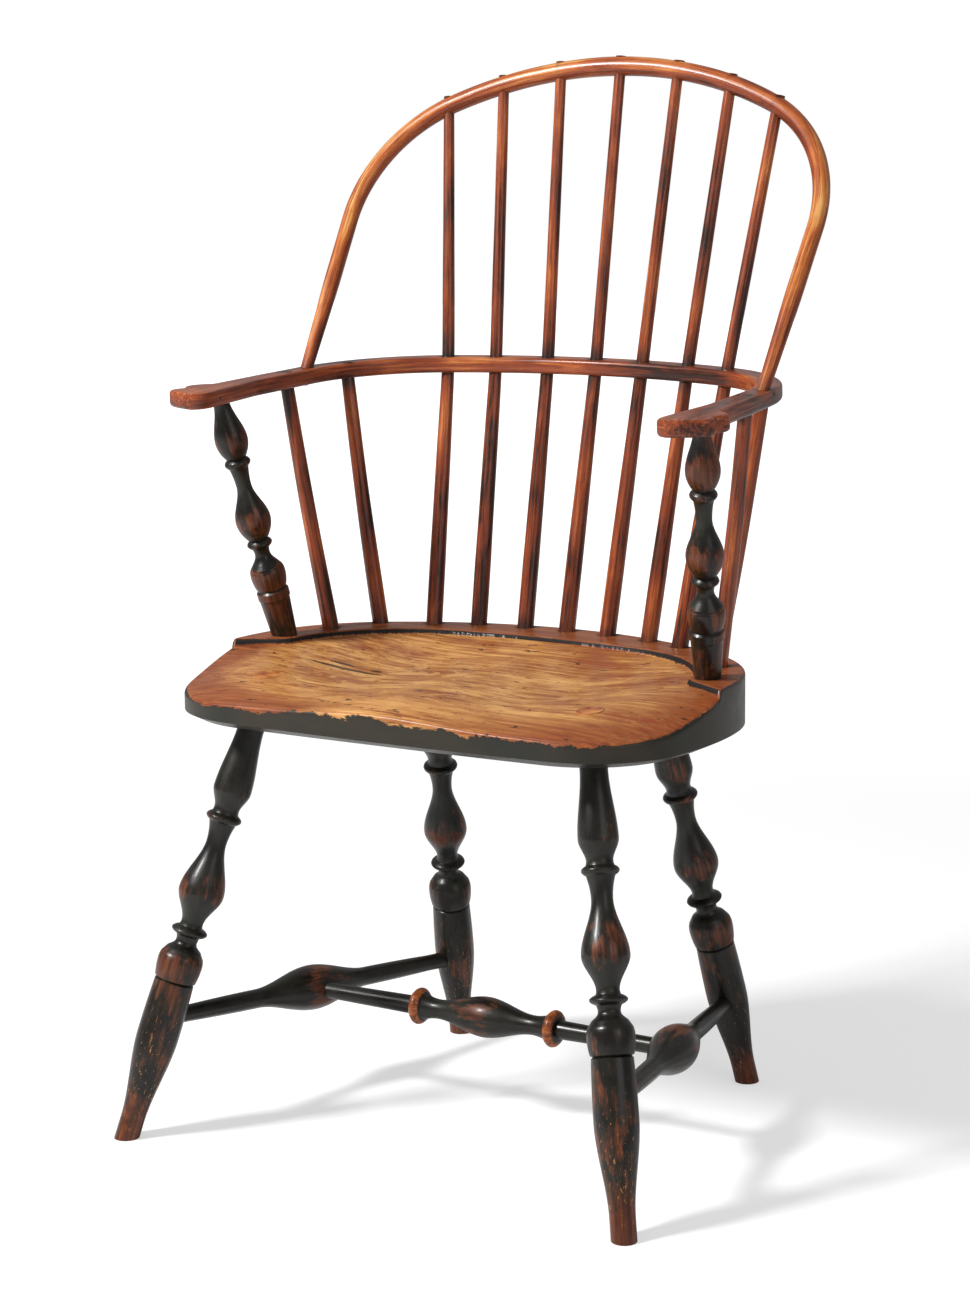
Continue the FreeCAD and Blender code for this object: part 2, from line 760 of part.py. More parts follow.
def groove_tool():
    """V-shaped sweep along the groove's centre line."""
    corners, arcs = groove_line()
    path = doc.addObject("Sketcher::SketchObject", "groove_path")
    draw_outline(path, corners, arcs, closed=False)
    level = Vector(0, 0, size("seat_top"))
    path.Placement = Placement(level, Rotation())
    section_sketch = doc.addObject("Sketcher::SketchObject", "groove_section")
    half = size("groove_width") / 2
    depth = size("groove_depth")
    above = 1
    spread = half * (1 + above / depth)
    outline = [Vector(-spread, above, 0), Vector(0, -depth, 0), Vector(spread, above, 0)]
    draw_outline(section_sketch, outline, {})
    heading = corners[1] - corners[0]
    turn = math.degrees(math.atan2(heading.y, heading.x)) + 90
    upright = Rotation(Vector(0, 0, 1), turn) * Rotation(Vector(1, 0, 0), 90)
    section_sketch.Placement = Placement(corners[0] + level, upright)
    sweep = doc.addObject("Part::Sweep", "groove_tool")
    sweep.Sections = [section_sketch]
    sweep.Spine = (path, [f"Edge{number + 1}" for number in range(len(corners) - 1)])
    sweep.Solid = True
    sweep.Frenet = False
    return sweep


def make_legs():
    """Four legs: level feet, a bore for the stretcher and a tenon in the seat."""
    wedges = []
    for where in ("front", "rear"):
        for side_name, side in SIDES.items():
            name = f"leg_{where}_{side_name}"
            foot, top = leg_ends(where, side)
            body = turned_body(name + "_turned", "leg", LEG_STATIONS, aim(foot, top))
            add_hole(name, floor)
            past = size("stretcher_tenon_past_axis") + size("spare_depth")
            end = beyond_end(bulb_point(side), joint_point(where, side), past)
            drill = bore(name + "_bore", "side_stretcher_tenon_diameter", bulb_point(side), end)
            add_hole(name, drill)
            if where == "front":
                add_hole(name, saddle)
                head_height = size("saddle_thigh_shoulder") + size("wedge_proud")
                head = point_at_height(foot, top, head_height)
                spread = Vector(0, 1, 0)
                wedges.append(
                    wedge(name + "_wedge", "leg_tenon_diameter", head, foot - top, spread, name)
                )
                mortise_end = point_at_height(foot, top, size("seat_top") + size("cut_overrun"))
            else:
                tenon_end = point_at_height(foot, top, size("seat_top") - size("rear_tenon_cover"))
                add_hole(name, square_cut(name + "_end", tenon_end, top - foot))
                mortise_end = beyond_end(foot, tenon_end, size("spare_depth"))
            mouth = point_at_height(foot, top, underside - size("cut_overrun"))
            add_hole("seat", bore(name + "_mortise", "leg_tenon_diameter", mouth, mortise_end))
            finish(name, body)
    add_hole("leg_wedges", saddle)
    finish("leg_wedges", joined("leg_wedge_pair", wedges))


def make_stretchers():
    """Two side stretchers, each with a bored bulb, and the medial stretcher between them."""
    past = size("stretcher_tenon_past_axis")
    for side_name, side in SIDES.items():
        name = f"side_stretcher_{side_name}"
        middle = bulb_point(side)
        placement = aim(middle, joint_point("rear", side))
        body = turned_body(
            name + "_turned", "side_stretcher", SIDE_STRETCHER_STATIONS, placement, twin=True
        )
        for where in ("front", "rear"):
            end = beyond_end(middle, joint_point(where, side), past)
            add_hole(name, square_cut(f"{name}_{where}_end", end, end - middle))
        end = beyond_end(bulb_point(-side), middle, past + size("spare_depth"))
        drill = bore(name + "_bore", "medial_stretcher_tenon_diameter", bulb_point(-side), end)
        add_hole(name, drill)
        finish(name, body)
    left = bulb_point(-1)
    right = bulb_point(1)
    middle = (left + right) * 0.5
    name = "medial_stretcher"
    body = turned_body(
        name + "_turned", name, MEDIAL_STRETCHER_STATIONS, aim(middle, right), twin=True
    )
    for side_name, end in (("left", left), ("right", right)):
        spot = beyond_end(middle, end, past)
        add_hole(name, square_cut(f"{name}_{side_name}_end", spot, spot - middle))
    finish(name, body)


def make_posts():
    """Two arm posts, through the seat and blind under the hand-holds."""
    wedges = []
    thickness = size("rail_thickness")
    for side_name, side in SIDES.items():
        name = f"arm_post_{side_name}"
        start = Vector(side * size("post_foot_x"), size("post_foot_y"), size("seat_top"))
        end = mirrored(on_rail(size("post_top_x"), size("post_top_y"), thickness), side)
        body = turned_body(name + "_turned", "post", POST_STATIONS, aim(start, end))
        tip = point_under_rail(start, end, size("post_tenon_cover"))
        add_hole(name, square_cut(name + "_end", tip, end - start))
        add_hole(name, under_seat)
        head = point_at_height(start, end, underside - size("wedge_proud"))
        wedges.append(
            wedge(name + "_wedge", "post_tenon_diameter", head, end - start, Vector(0, 1, 0), name)
        )
        mouth = point_under_rail(start, end, thickness + size("cut_overrun"))
        hole_end = beyond_end(start, tip, size("spare_depth") / 2)
        add_hole("arm_rail", bore(name + "_socket", "post_top_tenon_diameter", mouth, hole_end))
        below = point_at_height(start, end, underside - size("cut_overrun"))
        above = point_at_height(start, end, size("seat_top") + size("cut_overrun"))
        add_hole("seat", bore(name + "_mortise", "post_tenon_diameter", below, above))
        finish(name, body)
    add_hole("arm_post_wedges", under_seat)
    finish("arm_post_wedges", joined("arm_post_wedge_pair", wedges))


def break_edges(body, name, pick):
    """Chamfer round the body's highest or lowest face, apart from any edge along a glued seam."""
    before = body.Tip
    face = pick(before.Shape.Faces, key=lambda item: item.CenterOfMass.z)
    edges = []
    for number, edge in enumerate(before.Shape.Edges, start=1):
        on_face = any(edge.isSame(other) for other in face.Edges)
        on_seam = abs(abs(edge.CenterOfMass.x) - size("hand_seam_x")) < SAME_PLACE
        if on_face and not on_seam:
            edges.append(f"Edge{number}")
    bevel = body.newObject("PartDesign::Chamfer", name)
    bevel.Base = (before, edges)
    bevel.setExpression("Size", "sizes.rail_edge_chamfer")
    body.Tip = bevel
    doc.recompute()


def rail_strip():
    """Bent strip of the arm rail, padded down from its top face, with its edges broken."""
    crown_centre, bend = rail_arcs()
    splay = math.radians(size("rail_splay"))
    upper = unit(bend - crown_centre)
    lower = Vector(math.cos(splay), math.sin(splay), 0)
    outer = size("rail_bend_radius") + size("rail_half_width_out")
    inner = size("rail_bend_radius") - size("rail_half_width_in")
    hand_front = Vector(size("hand_front_x"), size("hand_front_y"), 0)
    hand_inner = Vector(size("hand_inner_x"), size("hand_inner_y"), 0)
    right = [
        bend + upper * outer,
        bend + lower * outer,
        Vector(size("rail_arris_x"), size("rail_arris_y"), 0),
        Vector(size("hand_seam_x"), size("hand_seam_rear_y"), 0),
        Vector(size("hand_seam_x"), size("hand_seam_front_y"), 0),
        hand_front,
        hand_inner,
        Vector(size("hand_waist_x"), size("hand_waist_y"), 0),
        bend + lower * inner,
        bend + upper * inner,
    ]
    corner = corner_centre(hand_front, hand_inner, size("hand_corner_radius"))
    right_arcs = {0: (bend, ""), 5: (corner, "hand_corner_radius"), 8: (bend, "")}
    crossing = {9: (crown_centre, ""), 19: (crown_centre, "")}
    corners, arcs = mirrored_outline(right, right_arcs, crossing)
    body = padded("arm_rail_strip", corners, arcs, "sizes.rail_thickness", rail_frame(), True)
    break_edges(body, "arm_rail_top_bevel", max)
    break_edges(body, "arm_rail_low_bevel", min)
    return body


def hand_block(name, side):
    """Lobed block glued to the outer side of a hand-hold."""
    seam = size("hand_seam_x") + size("fit_clearance")
    lobe_rear = Vector(seam, size("hand_seam_rear_y"), 0)
    cusp = Vector(size("block_cusp_x"), size("block_cusp_y"), 0)
    nose = Vector(size("block_nose_x"), size("block_nose_y"), 0)
    nose_rear = nose + Vector(2, size("block_nose_length"), 0)
    corners = [Vector(seam, size("hand_seam_front_y"), 0), nose, nose_rear, cusp, lobe_rear]
    nose_centre = corner_centre(nose_rear, nose, size("block_nose_radius"))
    lobe_centre = corner_centre(lobe_rear, cusp, size("block_lobe_radius"))
    arcs = {1: (nose_centre, "block_nose_radius"), 3: (lobe_centre, "block_lobe_radius")}
    corners = [mirrored(point, side) for point in corners]
    arcs = {step: (mirrored(centre, side), radius) for step, (centre, radius) in arcs.items()}
    body = padded(name + "_sawn", corners, arcs, "sizes.rail_thickness", rail_frame(), True)
    break_edges(body, name + "_top_bevel", max)
    break_edges(body, name + "_low_bevel", min)
    return body


def make_hand_blocks():
    """Two hand-hold blocks, each nailed from the inner side of the arm rail."""
    pins = []
    waist_y = size("hand_waist_y")
    share = (waist_y - size("hand_pin_y")) / (waist_y - size("hand_inner_y"))
    inner_x = size("hand_waist_x") + (size("hand_inner_x") - size("hand_waist_x")) * share
    for side_name, side in SIDES.items():
        name = f"hand_hold_block_{side_name}"
        body = hand_block(name, side)
        level = -size("rail_thickness") / 2
        head = Vector(side * (inner_x + size("hand_pin_sunk")), size("hand_pin_y"), level)
        start = rail_frame().multVec(head)
        across = Vector(side, 0, 0)
        pins.append(pin(f"hand_pin_{side_name}", start, across, "hand_pin_length", name))
        finish(name, body)
    finish_group("hand_hold_pins", pins)


def square_to(heading, sideways):
    """Rotation whose local Z is a heading and whose local X is as near as it can be to sideways."""
    across = unit(sideways - heading * sideways.dot(heading))
    return Rotation(across, heading.cross(across), heading, "XYZ")


def rod(name, stations, sideways):
    """Round rod through stations, each a spot, a heading and the formula of its diameter.

    It is a cylinder where two in a row have one heading and size, and a ruled taper elsewhere.
    """
    stretches = []
    for number, (here, there) in enumerate(zip(stations, stations[1:]), start=1):
        spot, heading, formula = here
        straight = heading.getAngle(there[1]) < SAME_HEADING and formula == there[2]
        kind = "Part::Cylinder" if straight else "Part::Loft"
        stretch = doc.addObject(kind, f"{name}_stretch_{number}")
        if straight:
            stretch.setExpression("Radius", f"({formula}) / 2")
            stretch.Height = (there[0] - spot).Length
            stretch.Placement = Placement(spot, square_to(heading, sideways))
        else:
            stretch.Sections = (
                ring(f"{stretch.Name}_start", here, sideways),
                ring(f"{stretch.Name}_end", there, sideways),
            )
            stretch.Solid = True
            stretch.Ruled = True
        stretches.append(stretch)
    return joined(name, stretches)


def ring(name, station, sideways):
    """Circle of a rod's station."""
    spot, heading, formula = station
    circle = doc.addObject("Part::Circle", name)
    circle.setExpression("Radius", f"({formula}) / 2")
    circle.Placement = Placement(spot, square_to(heading, sideways))
    return circle


def spindle_foot(name, foot, heading):
    """Stations of a spindle's tenon in the seat, whose bore is cut here."""
    low = foot - heading * size("spindle_tenon_depth")
    bottom = low - heading * size("spare_depth")
    mouth = foot + heading * size("cut_overrun")
    add_hole("seat", bore(name + "_seat_bore", "spindle_seat_diameter", bottom, mouth))
    diameter = "sizes.spindle_seat_diameter"
    return [(low, heading, diameter), (foot, heading, diameter)]


def through_tenon(name, diameter_name, middle, heading, reach, receiver):
    """Stations of a straight stretch through another piece, whose bore is cut here."""
    start = middle - heading * reach
    end = middle + heading * reach
    add_hole(receiver, bore(name, diameter_name, start, end))
    diameter = f"sizes.{diameter_name}"
    return [(start, heading, diameter), (end, heading, diameter)]


def make_long_spindles():
    """Seven spindles from the seat through the arm rail and through the bow."""
    wedges = []
    right = list(LONG_SPINDLES)
    keys = [(key, -1) for key in right[:-1]] + [(key, 1) for key in reversed(right)]
    frame = bow_frame()
    in_rail = size("rail_thickness") / 2 + size("spindle_tenon_extra")
    for number, (key, side) in enumerate(keys, start=1):
        name = f"long_spindle_{number}"
        sizes = {end: size(f"spindle_{key}_{end}") for end in LONG_SPINDLES[key]}
        foot = Vector(side * sizes["seat_x"], sizes["seat_y"], size("seat_top"))
        middle = on_rail(side * sizes["rail_x"], sizes["rail_y"], size("rail_thickness") / 2)
        spot, outer, diameter, _ = bow_at(side * sizes["bow_x"])
        top = frame.multVec(spot)
        outer = frame.Rotation.multVec(outer)
        lower = unit(middle - foot)
        upper = unit(top - middle)
        bend = unit(lower + upper)
        stations = spindle_foot(name, foot, lower)
        stations += through_tenon(
            name + "_rail_bore", "spindle_rail_diameter", middle, bend, in_rail, "arm_rail"
        )
        stations += through_tenon(
            name + "_bow_bore", "spindle_bow_diameter", top, upper, diameter, "bow"
        )
        end_cut = square_cut(name + "_end", top + outer * (diameter / 2), outer)
        add_hole(name, end_cut)
        add_hole("spindle_wedges", end_cut)
        head = top + upper * ((diameter / 2 + size("wedge_proud")) / upper.dot(outer))
        across = frame.Rotation.multVec(Vector(0, 0, 1))
        width = "spindle_bow_diameter"
        wedges.append(wedge(name + "_wedge", width, head, upper * -1, across, name))
        finish(name, rod(name + "_shaved", stations, Vector(1, 0, 0)))
    finish("spindle_wedges", joined("spindle_wedge_set", wedges))


def make_short_spindles():
    """Four spindles from the seat to the arm rail, flush with its top."""
    wedges = []
    width = "short_spindle_rail_diameter"
    across = Vector(1, 0, 0)
    for side_name, side in SIDES.items():
        for key in SHORT_SPINDLES:
            name = f"short_spindle_{side_name}_{key}"
            sizes = {end: size(f"short_spindle_{key}_{end}") for end in SHORT_SPINDLES[key]}
            foot = Vector(side * sizes["seat_x"], sizes["seat_y"], size("seat_top"))
            top = on_rail(side * sizes["rail_x"], sizes["rail_y"], 0)
            waist = (foot + top) * 0.5 + Vector(side * size("short_spindle_flex"), 0, 0)
            lower = unit(waist - foot)
            upper = unit(top - waist)
            stations = spindle_foot(name, foot, lower)
            stations.append((waist, unit(lower + upper), "sizes.short_spindle_waist_diameter"))
            reach = size("rail_thickness") + size("spindle_tenon_extra") * 2
            stations += through_tenon(name + "_rail_bore", width, top, upper, reach, "arm_rail")
            add_hole(name, over_rail)
            head = top + upper * size("wedge_proud")
            wedges.append(wedge(name + "_wedge", width, head, upper * -1, across, name))
            finish(name, rod(name + "_shaved", stations, across))
    add_hole("short_spindle_wedges", over_rail)
    finish("short_spindle_wedges", joined("short_spindle_wedge_set", wedges))


def onward(outer):
    """Direction along the bow, from its right end to its left, where outer points outwards."""
    return Vector(-outer.y, outer.x, 0)


def bow_bend_stations():
    """Stations from the lower end of the right bend up to the outer long spindle."""
    _, bend_centre, upper, lower = bow_arcs()
    first = angle_about(bend_centre, lower)
    last = angle_about(bend_centre, upper)
    outer_spindle, _, _, _ = bow_at(size("spindle_outer_bow_x"))
    end = angle_about(bend_centre, outer_spindle) - size("bow_socket_flat") / size("bow_bend_radius")
    stations = []
    for step in range(BOW_STEPS_PER_BEND):
        angle = first + (end - first) * step / BOW_STEPS_PER_BEND
        outer = Vector(math.cos(angle), math.sin(angle), 0)
        spot = bend_centre + outer * size("bow_bend_radius")
        share = (angle - first) / (last - first)
        formula = share_formula("bow_side_diameter", "bow_shoulder_diameter", share)
        stations.append((spot, onward(outer), formula))
    return stations


def bow_stations():
    """Right half of the bow from under the arm rail to the crown, straight at each spindle."""
    _, bend_centre, upper, lower = bow_arcs()
    foot = Vector(size("bow_foot_x"), 0, 0)
    heading = unit(lower - foot)
    low = foot - heading * size("bow_end_spare")
    high = foot + heading * size("bow_end_straight")
    stations = [(spot, heading, "sizes.bow_end_diameter") for spot in (low, high)]
    stations += bow_bend_stations()
    for key in LONG_SPINDLES:
        spot, outer, _, formula = bow_at(size(f"spindle_{key}_bow_x"))
        flat = onward(outer) * size("bow_socket_flat")
        if spot.x < upper.x < stations[-1][0].x:
            shoulder = onward(unit(upper - bend_centre))
            stations.append((upper, shoulder, "sizes.bow_shoulder_diameter"))
        stations += [(spot - flat, onward(outer), formula), (spot + flat, onward(outer), formula)]
    return stations[:-1]


def make_bow():
    """Round tapered bow, its ends through the arm rail, wedged from below and pinned."""
    frame = bow_frame()
    right = bow_stations()
    left = [
        (mirrored(spot, -1), mirrored(heading, -1) * -1, formula)
        for spot, heading, formula in reversed(right)
    ]
    stations = [
        (frame.multVec(spot), frame.Rotation.multVec(heading), formula)
        for spot, heading, formula in right + left
    ]
    add_hole("bow", under_rail)
    wedges = []
    pins = []
    for side_name, side in SIDES.items():
        low = frame.multVec(mirrored(right[0][0], side))
        high = frame.multVec(mirrored(right[1][0], side))
        add_hole("arm_rail", bore(f"bow_{side_name}_hole", "bow_end_diameter", low, high))
        head = point_under_rail(high, low, size("rail_thickness") + size("wedge_proud"))
        name = f"bow_{side_name}_wedge"
        spread = Vector(1, 0, 0)
        wedges.append(wedge(name, "bow_end_diameter", head, high - low, spread, "bow"))
        pins.append(bow_pin(side_name, side, high, low))
    finish("bow", rod("bow_rod", stations, frame.Rotation.multVec(Vector(0, 0, 1))))
    add_hole("bow_end_wedges", under_rail)
    finish("bow_end_wedges", joined("bow_wedge_pair", wedges))
    finish_group("bow_end_pins", pins)


def bow_pin(side_name, side, high, low):
    """Pin from the arm rail's outer face through the end of the bow, above its wedge."""
    frame = rail_frame()
    spot = frame.inverse().multVec(point_under_rail(high, low, size("bow_pin_below_top")))
    centre = mirrored(rail_arcs()[1], side)
    centre.z = spot.z
    outer = unit(spot - centre)
    edge = centre + outer * (size("rail_bend_radius") + size("rail_half_width_out"))
    inward = frame.Rotation.multVec(outer * -1)
    return pin(f"bow_pin_{side_name}", frame.multVec(edge), inward, "bow_pin_length", "bow")


def check_and_export():
    """Stop on any failed object or solid, then write one STEP file for each piece."""
    doc.recompute()
    for item in doc.Objects:
        if {"Invalid", "Error"} & set(item.State):
            raise RuntimeError(f"{item.Name} failed: {item.State}")
    for item in nodes:
        if item.Shape.isNull() or not item.Shape.isValid() or not item.Shape.Solids:
            raise RuntimeError(f"{item.Label} has no valid solid")
    for item in nodes:
        item.Shape.exportStep(f"parts/{item.Label}.step")
        print(item.Label, len(item.Shape.Solids), round(item.Shape.Volume))


put_sizes()
underside = size("seat_top") - size("seat_thickness")
saddle = saddle_tool()
add_hole("seat", saddle)
add_hole("seat", groove_tool())
floor = slab("floor_cut", Placement(), -SLAB_HEIGHT)
under_seat = slab("under_seat_cut", Placement(), underside - SLAB_HEIGHT)
over_rail = slab("over_rail_cut", rail_frame(), 0)
under_rail = slab("under_rail_cut", rail_frame(), -size("rail_thickness") - SLAB_HEIGHT)
make_legs()
make_stretchers()
make_posts()
make_long_spindles()
make_short_spindles()
make_bow()
make_hand_blocks()
finish("seat", seat_plank())
finish("arm_rail", rail_strip())
check_and_export()
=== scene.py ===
import math
import random

import bpy
import numpy as np
from mathutils import Matrix, Vector


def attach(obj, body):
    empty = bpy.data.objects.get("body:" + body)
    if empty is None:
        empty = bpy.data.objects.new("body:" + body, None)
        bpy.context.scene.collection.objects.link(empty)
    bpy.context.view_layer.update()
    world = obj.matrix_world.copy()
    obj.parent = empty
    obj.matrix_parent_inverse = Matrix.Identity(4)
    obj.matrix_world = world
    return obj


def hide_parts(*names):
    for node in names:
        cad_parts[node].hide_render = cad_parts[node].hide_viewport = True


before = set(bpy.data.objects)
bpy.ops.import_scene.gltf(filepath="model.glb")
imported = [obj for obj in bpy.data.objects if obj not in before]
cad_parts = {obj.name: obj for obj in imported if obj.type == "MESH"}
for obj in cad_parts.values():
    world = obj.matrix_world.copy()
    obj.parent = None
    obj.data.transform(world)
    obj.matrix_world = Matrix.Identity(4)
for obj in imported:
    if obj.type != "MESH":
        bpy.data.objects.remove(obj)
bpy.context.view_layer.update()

# Sack-back windsor armchair. Geometry is written in millimetres in the row frame: +Z up, floor at
# Z = 0, the sitter faces -Y and the chair is mirrored about X = 0. Meshes are made in metres.
MM = 0.001
RINGS_PER_MM = 0.7
AROUND = 56
LATHE_WOBBLE = 0.004
SHAVE_WAVE = 0.008
SIDES = {"left": -1, "right": 1}
FLIP = np.array([-1, 1])
QUARTER = math.pi / 2

# Camera, fitted to the photograph of 970 x 1300 pixels.
PHOTO_WIDTH = 970
PHOTO_HEIGHT = 1300
CAMERA_AZIMUTH = 31.17
CAMERA_ELEVATION = 9.37
CAMERA_ROLL = -0.45
CAMERA_DISTANCE = 2840.15
CAMERA_TARGET = (0, -29, 500)
FOCAL_LENGTH_PX = 3117.72
CENTRE_X_PX = 480.16
CENTRE_Y_PX = 592.87

# Floor, a hair below the feet.
FLOOR_REACH = 9000
FLOOR_LEVEL = -0.4

# Seat plank.
SEAT_TOP = 440
SEAT_THICKNESS = 52
SEAT_UNDERSIDE = SEAT_TOP - SEAT_THICKNESS
SEAT_FRONT = -207
SEAT_REAR = 146
SEAT_HALF_WIDTH = 259
SEAT_WIDEST_AT = -66
SEAT_RADII = {"front": 2400, "corner": 92, "side": 300, "shoulder": 158, "rear": 340}
SEAT_BEVEL_INSET = 13
SEAT_BEVEL_HEIGHT = 6
SEAT_ROUNDING = 3
SEAT_CENTRE = np.array([0.0, -20.0])
SEAT_POINTS_AROUND = 900
MARGIN_WIDTH = 70
# Rings of the seat's top in front of and behind the groove, of its rounded rim and of its sides.
SEAT_RINGS = {"saddle": 130, "deck": 50, "rounding": 7, "wall": 9}
SADDLE_LOWEST = 396
GROOVE_HALF_WIDTH = 2.6
GROOVE_DEPTH = 3.2
GROOVE_CROWN = 89
GROOVE_BACK_RADIUS = 800
GROOVE_SHOULDER_RADIUS = 133
GROOVE_SHOULDER_CENTRE = 79
GROOVE_OGEE_RADIUS = 22
GROOVE_OGEE_START = math.radians(12)
GROOVE_EXIT = math.radians(30)
GROOVE_OVERRUN = 90
# Rings across the groove, as shares of its half width.
GROOVE_RINGS = (-1.1, -1.0, -0.66, -0.33, 0, 0.33, 0.66, 1.0, 1.1)

# Dark cracks in the seat's left half: X, Y, half length and half width.
CRACKS = ((-140, -58, 46, 5), (-142, -44, 20, 4), (-104, -44, 9, 5), (-112, -56, 30, 5))

# Heights of the carved seat top: rows from front to rear, columns at the distances from the middle.
SADDLE_ACROSS = (0, 100, 190, 285)
SADDLE_ROWS = {
    -235: (411, 406, 398, 384),
    -172: (425, 419, 417, 396),
    -109: (426, 421, 427, 412),
    -39: (423, 420, 431, 436),
    31: (426, 425, 435, 441),
    101: (439, 439, 441, 443),
}

# Legs: where each axis meets the floor and the underside of the seat, on the right side.
LEGS = {
    "front": ((261, -235.6, 0), (177, -136.7, SEAT_UNDERSIDE)),
    "rear": ((162.8, 195.5, 0), (123, 86.3, SEAT_UNDERSIDE)),
}
# Where the legs end along their axes: through the seat in front, blind at the rear.
LEG_START = -20
LEG_ENDS = {"front": 480, "rear": 445}
STRETCHER_HEIGHTS = {"front": 110, "rear": 85}
BULB_SHARE = 0.485
# Bare and scratched heights of the legs, and the rubbed rings of the medial stretcher.
BARE_FOOT_HEIGHT = 70
SCRATCHED_HEIGHT = 70
SCRATCHED_REACH = 75
RIM_FROM = 66
RIM_RADIUS = 14
TENON_PAST_AXIS = 8
POST_FOOT = (226, -16.3, SEAT_TOP)
POST_TOP = (250.6, -78.2)
POST_START = -10
POST_PAST_RAIL = 4

# Arm rail, in its own sloping plane.
RAIL_TOP = 686.8
RAIL_SLOPE = math.radians(2.75)
RAIL_THICKNESS = 15
RAIL_CROWN = 189
RAIL_BACK_RADIUS = 470
RAIL_BEND_RADIUS = 135
RAIL_BEND_CENTRE = 106.9
RAIL_IN = 12
RAIL_OUT = 13
RAIL_SPLAY = math.radians(4)
RAIL_ROUNDING = 3.6
# Rings of its back, bend and arm, the gap between those of its hand-holds, and where these end.
RAIL_RINGS = {"back": 40, "bend": 60, "arm": 40}
HAND_RING_GAP = 0.8
HAND_END = -134
HAND_TIP = -134.3
# Arm of the rail towards the hand-hold: Y, then X of its inner and outer faces.
ARM_OUTLINE = (
    (30, 230.8, 256.2), (-2, 232.8, 260), (-40, 235.5, 263.2), (-66, 234, 265.4),
)
# Hand-hold with its two lobes: Y, then X of its inner and outer faces.
HAND_OUTLINE = (
    (-72, 233.7, 266.5), (-75, 233.5, 271.5), (-79, 233.3, 276.5), (-84, 233, 280.3),
    (-89, 232.7, 281.4), (-94, 232.4, 280.4), (-98, 232.2, 277.8), (-101.5, 232, 274.9),
    (-104, 231.9, 275.4), (-108, 231.6, 278.8), (-113, 231.3, 280.6), (-118, 231.2, 280),
    (-122, 231.6, 277), (-126, 232.6, 270.5), (-129, 234, 264), (-131.5, 236, 257.5),
    (-133.4, 239, 251), (-134.4, 243.4, 246),
)

# Bow, in its own leaning plane, with heights above the arm rail's top.
BOW_FOOT = (243.5, 54.6)
BOW_LEAN = math.radians(33)
BOW_CROWN_HEIGHT = 338
BOW_HALF_WIDTH = 250.5
BOW_CROWN_RADIUS = 380
BOW_BEND_RADIUS = 142
BOW_DIAMETERS = {"crown": 18.6, "shoulder": 17.4, "side": 15.6, "end": 12}
BOW_RINGS = {"side": 20, "bend": 70, "crown": 50}
# Depths of the lowest rings below the arm rail's top, and the first ring that is well above it.
BOW_END_DEPTHS = (17.4, 12, 6, 0)
BOW_UPPER_RING = 30
BOW_NORMAL = np.array([0, -math.cos(BOW_LEAN), math.sin(BOW_LEAN)])

# Spindles: X and Y at the seat top, X and Y at the arm rail, X at the bow.
LONG_SPINDLES = {
    4: (0, 131.0, 0, 189.0, 0),
    5: (45.1, 129.5, 51.5, 186.0, 63.8),
    6: (93.3, 122.5, 104.5, 177.0, 123.5),
    7: (134.3, 106.5, 151.5, 165.0, 178.5),
}
SHORT_SPINDLES = {"front": (209.4, 37.9, 245.0, 18.8), "rear": (183.6, 86.3, 225.5, 95.5)}
SPINDLE_SEAT_DIAMETER = 15.8
SPINDLE_RAIL_DIAMETER = 12.2
SPINDLE_BOW_DIAMETER = 10.4
SHORT_SPINDLE_DIAMETERS = (15.8, 14.4, 12.6)
TENON_DEPTH = 28
# X at the bow of the middle spindle, which has to lie on one side.
NEAR_MIDDLE = 0.001
WEDGE_HALF_LENGTH = 3.2
SIDEWAYS = np.array([1.0, 0, 0])

# Nail heads: X and Y of those in the hand-holds, and how far they lie below the rail's top.
HAND_NAIL = (231.9, -105)
HAND_NAIL_DEPTH = 7.5
BOW_NAIL_DEPTH = 4.2

# Turned outlines: height and diameter, with LEVEL where the outline runs parallel to the axis.
LEVEL = "level"
LEG = (
    (-20, 22.5), (18, 22.6, LEVEL), (100, 39, LEVEL), (151.6, 36.6), (153, 33.6), (154.4, 38.2),
    (170.5, 42, LEVEL), (177.5, 39.6), (183.6, 31.5), (186.6, 24), (190.6, 19.6, LEVEL),
    (196.2, 22), (200.8, 33.8, LEVEL), (205.4, 22), (209, 20.4, LEVEL), (238.5, 42.5, LEVEL),
    (286, 19, LEVEL), (306, 25.4), (310.4, 33.4, LEVEL), (314.8, 25), (318.5, 23.4, LEVEL),
    (337.5, 35.4, LEVEL), (396, 24.6, LEVEL), (480, 24.6),
)
POST = (
    (-10, 22.5), (38.6, 29.2), (39.6, 31), (46.4, 31), (48.2, 27.6), (63, 33.8, LEVEL),
    (68.4, 32.6), (69.2, 31.4), (70, 31.4), (78.4, 19), (85, 14.6, LEVEL), (90.4, 17),
    (94.6, 24.4, LEVEL), (98.8, 18), (119, 33.7, LEVEL), (153, 14.4, LEVEL), (171.8, 18.6),
    (176.2, 24.8, LEVEL), (180.6, 18), (199, 31, LEVEL), (236, 15.3, LEVEL), (264, 15.3),
)
SIDE_STRETCHER = (
    (0, 43, LEVEL), (72, 18.2, LEVEL), (158, 15.6), (240, 15.6),
)
MEDIAL_STRETCHER = (
    (0, 38, LEVEL), (51, 18.4, LEVEL), (66.5, 24), (68.2, 29.5), (73, 34.8, LEVEL), (77, 30),
    (78.4, 17.6), (165, 15.4), (240, 15.4),
)

random.seed(7)


def srgb(red, green, blue):
    """Linear colour of an sRGB one, given from 0 to 255."""
    levels = [value / 255 for value in (red, green, blue)]
    linear = [v / 12.92 if v <= 0.04045 else ((v + 0.055) / 1.055) ** 2.4 for v in levels]
    return (*linear, 1)


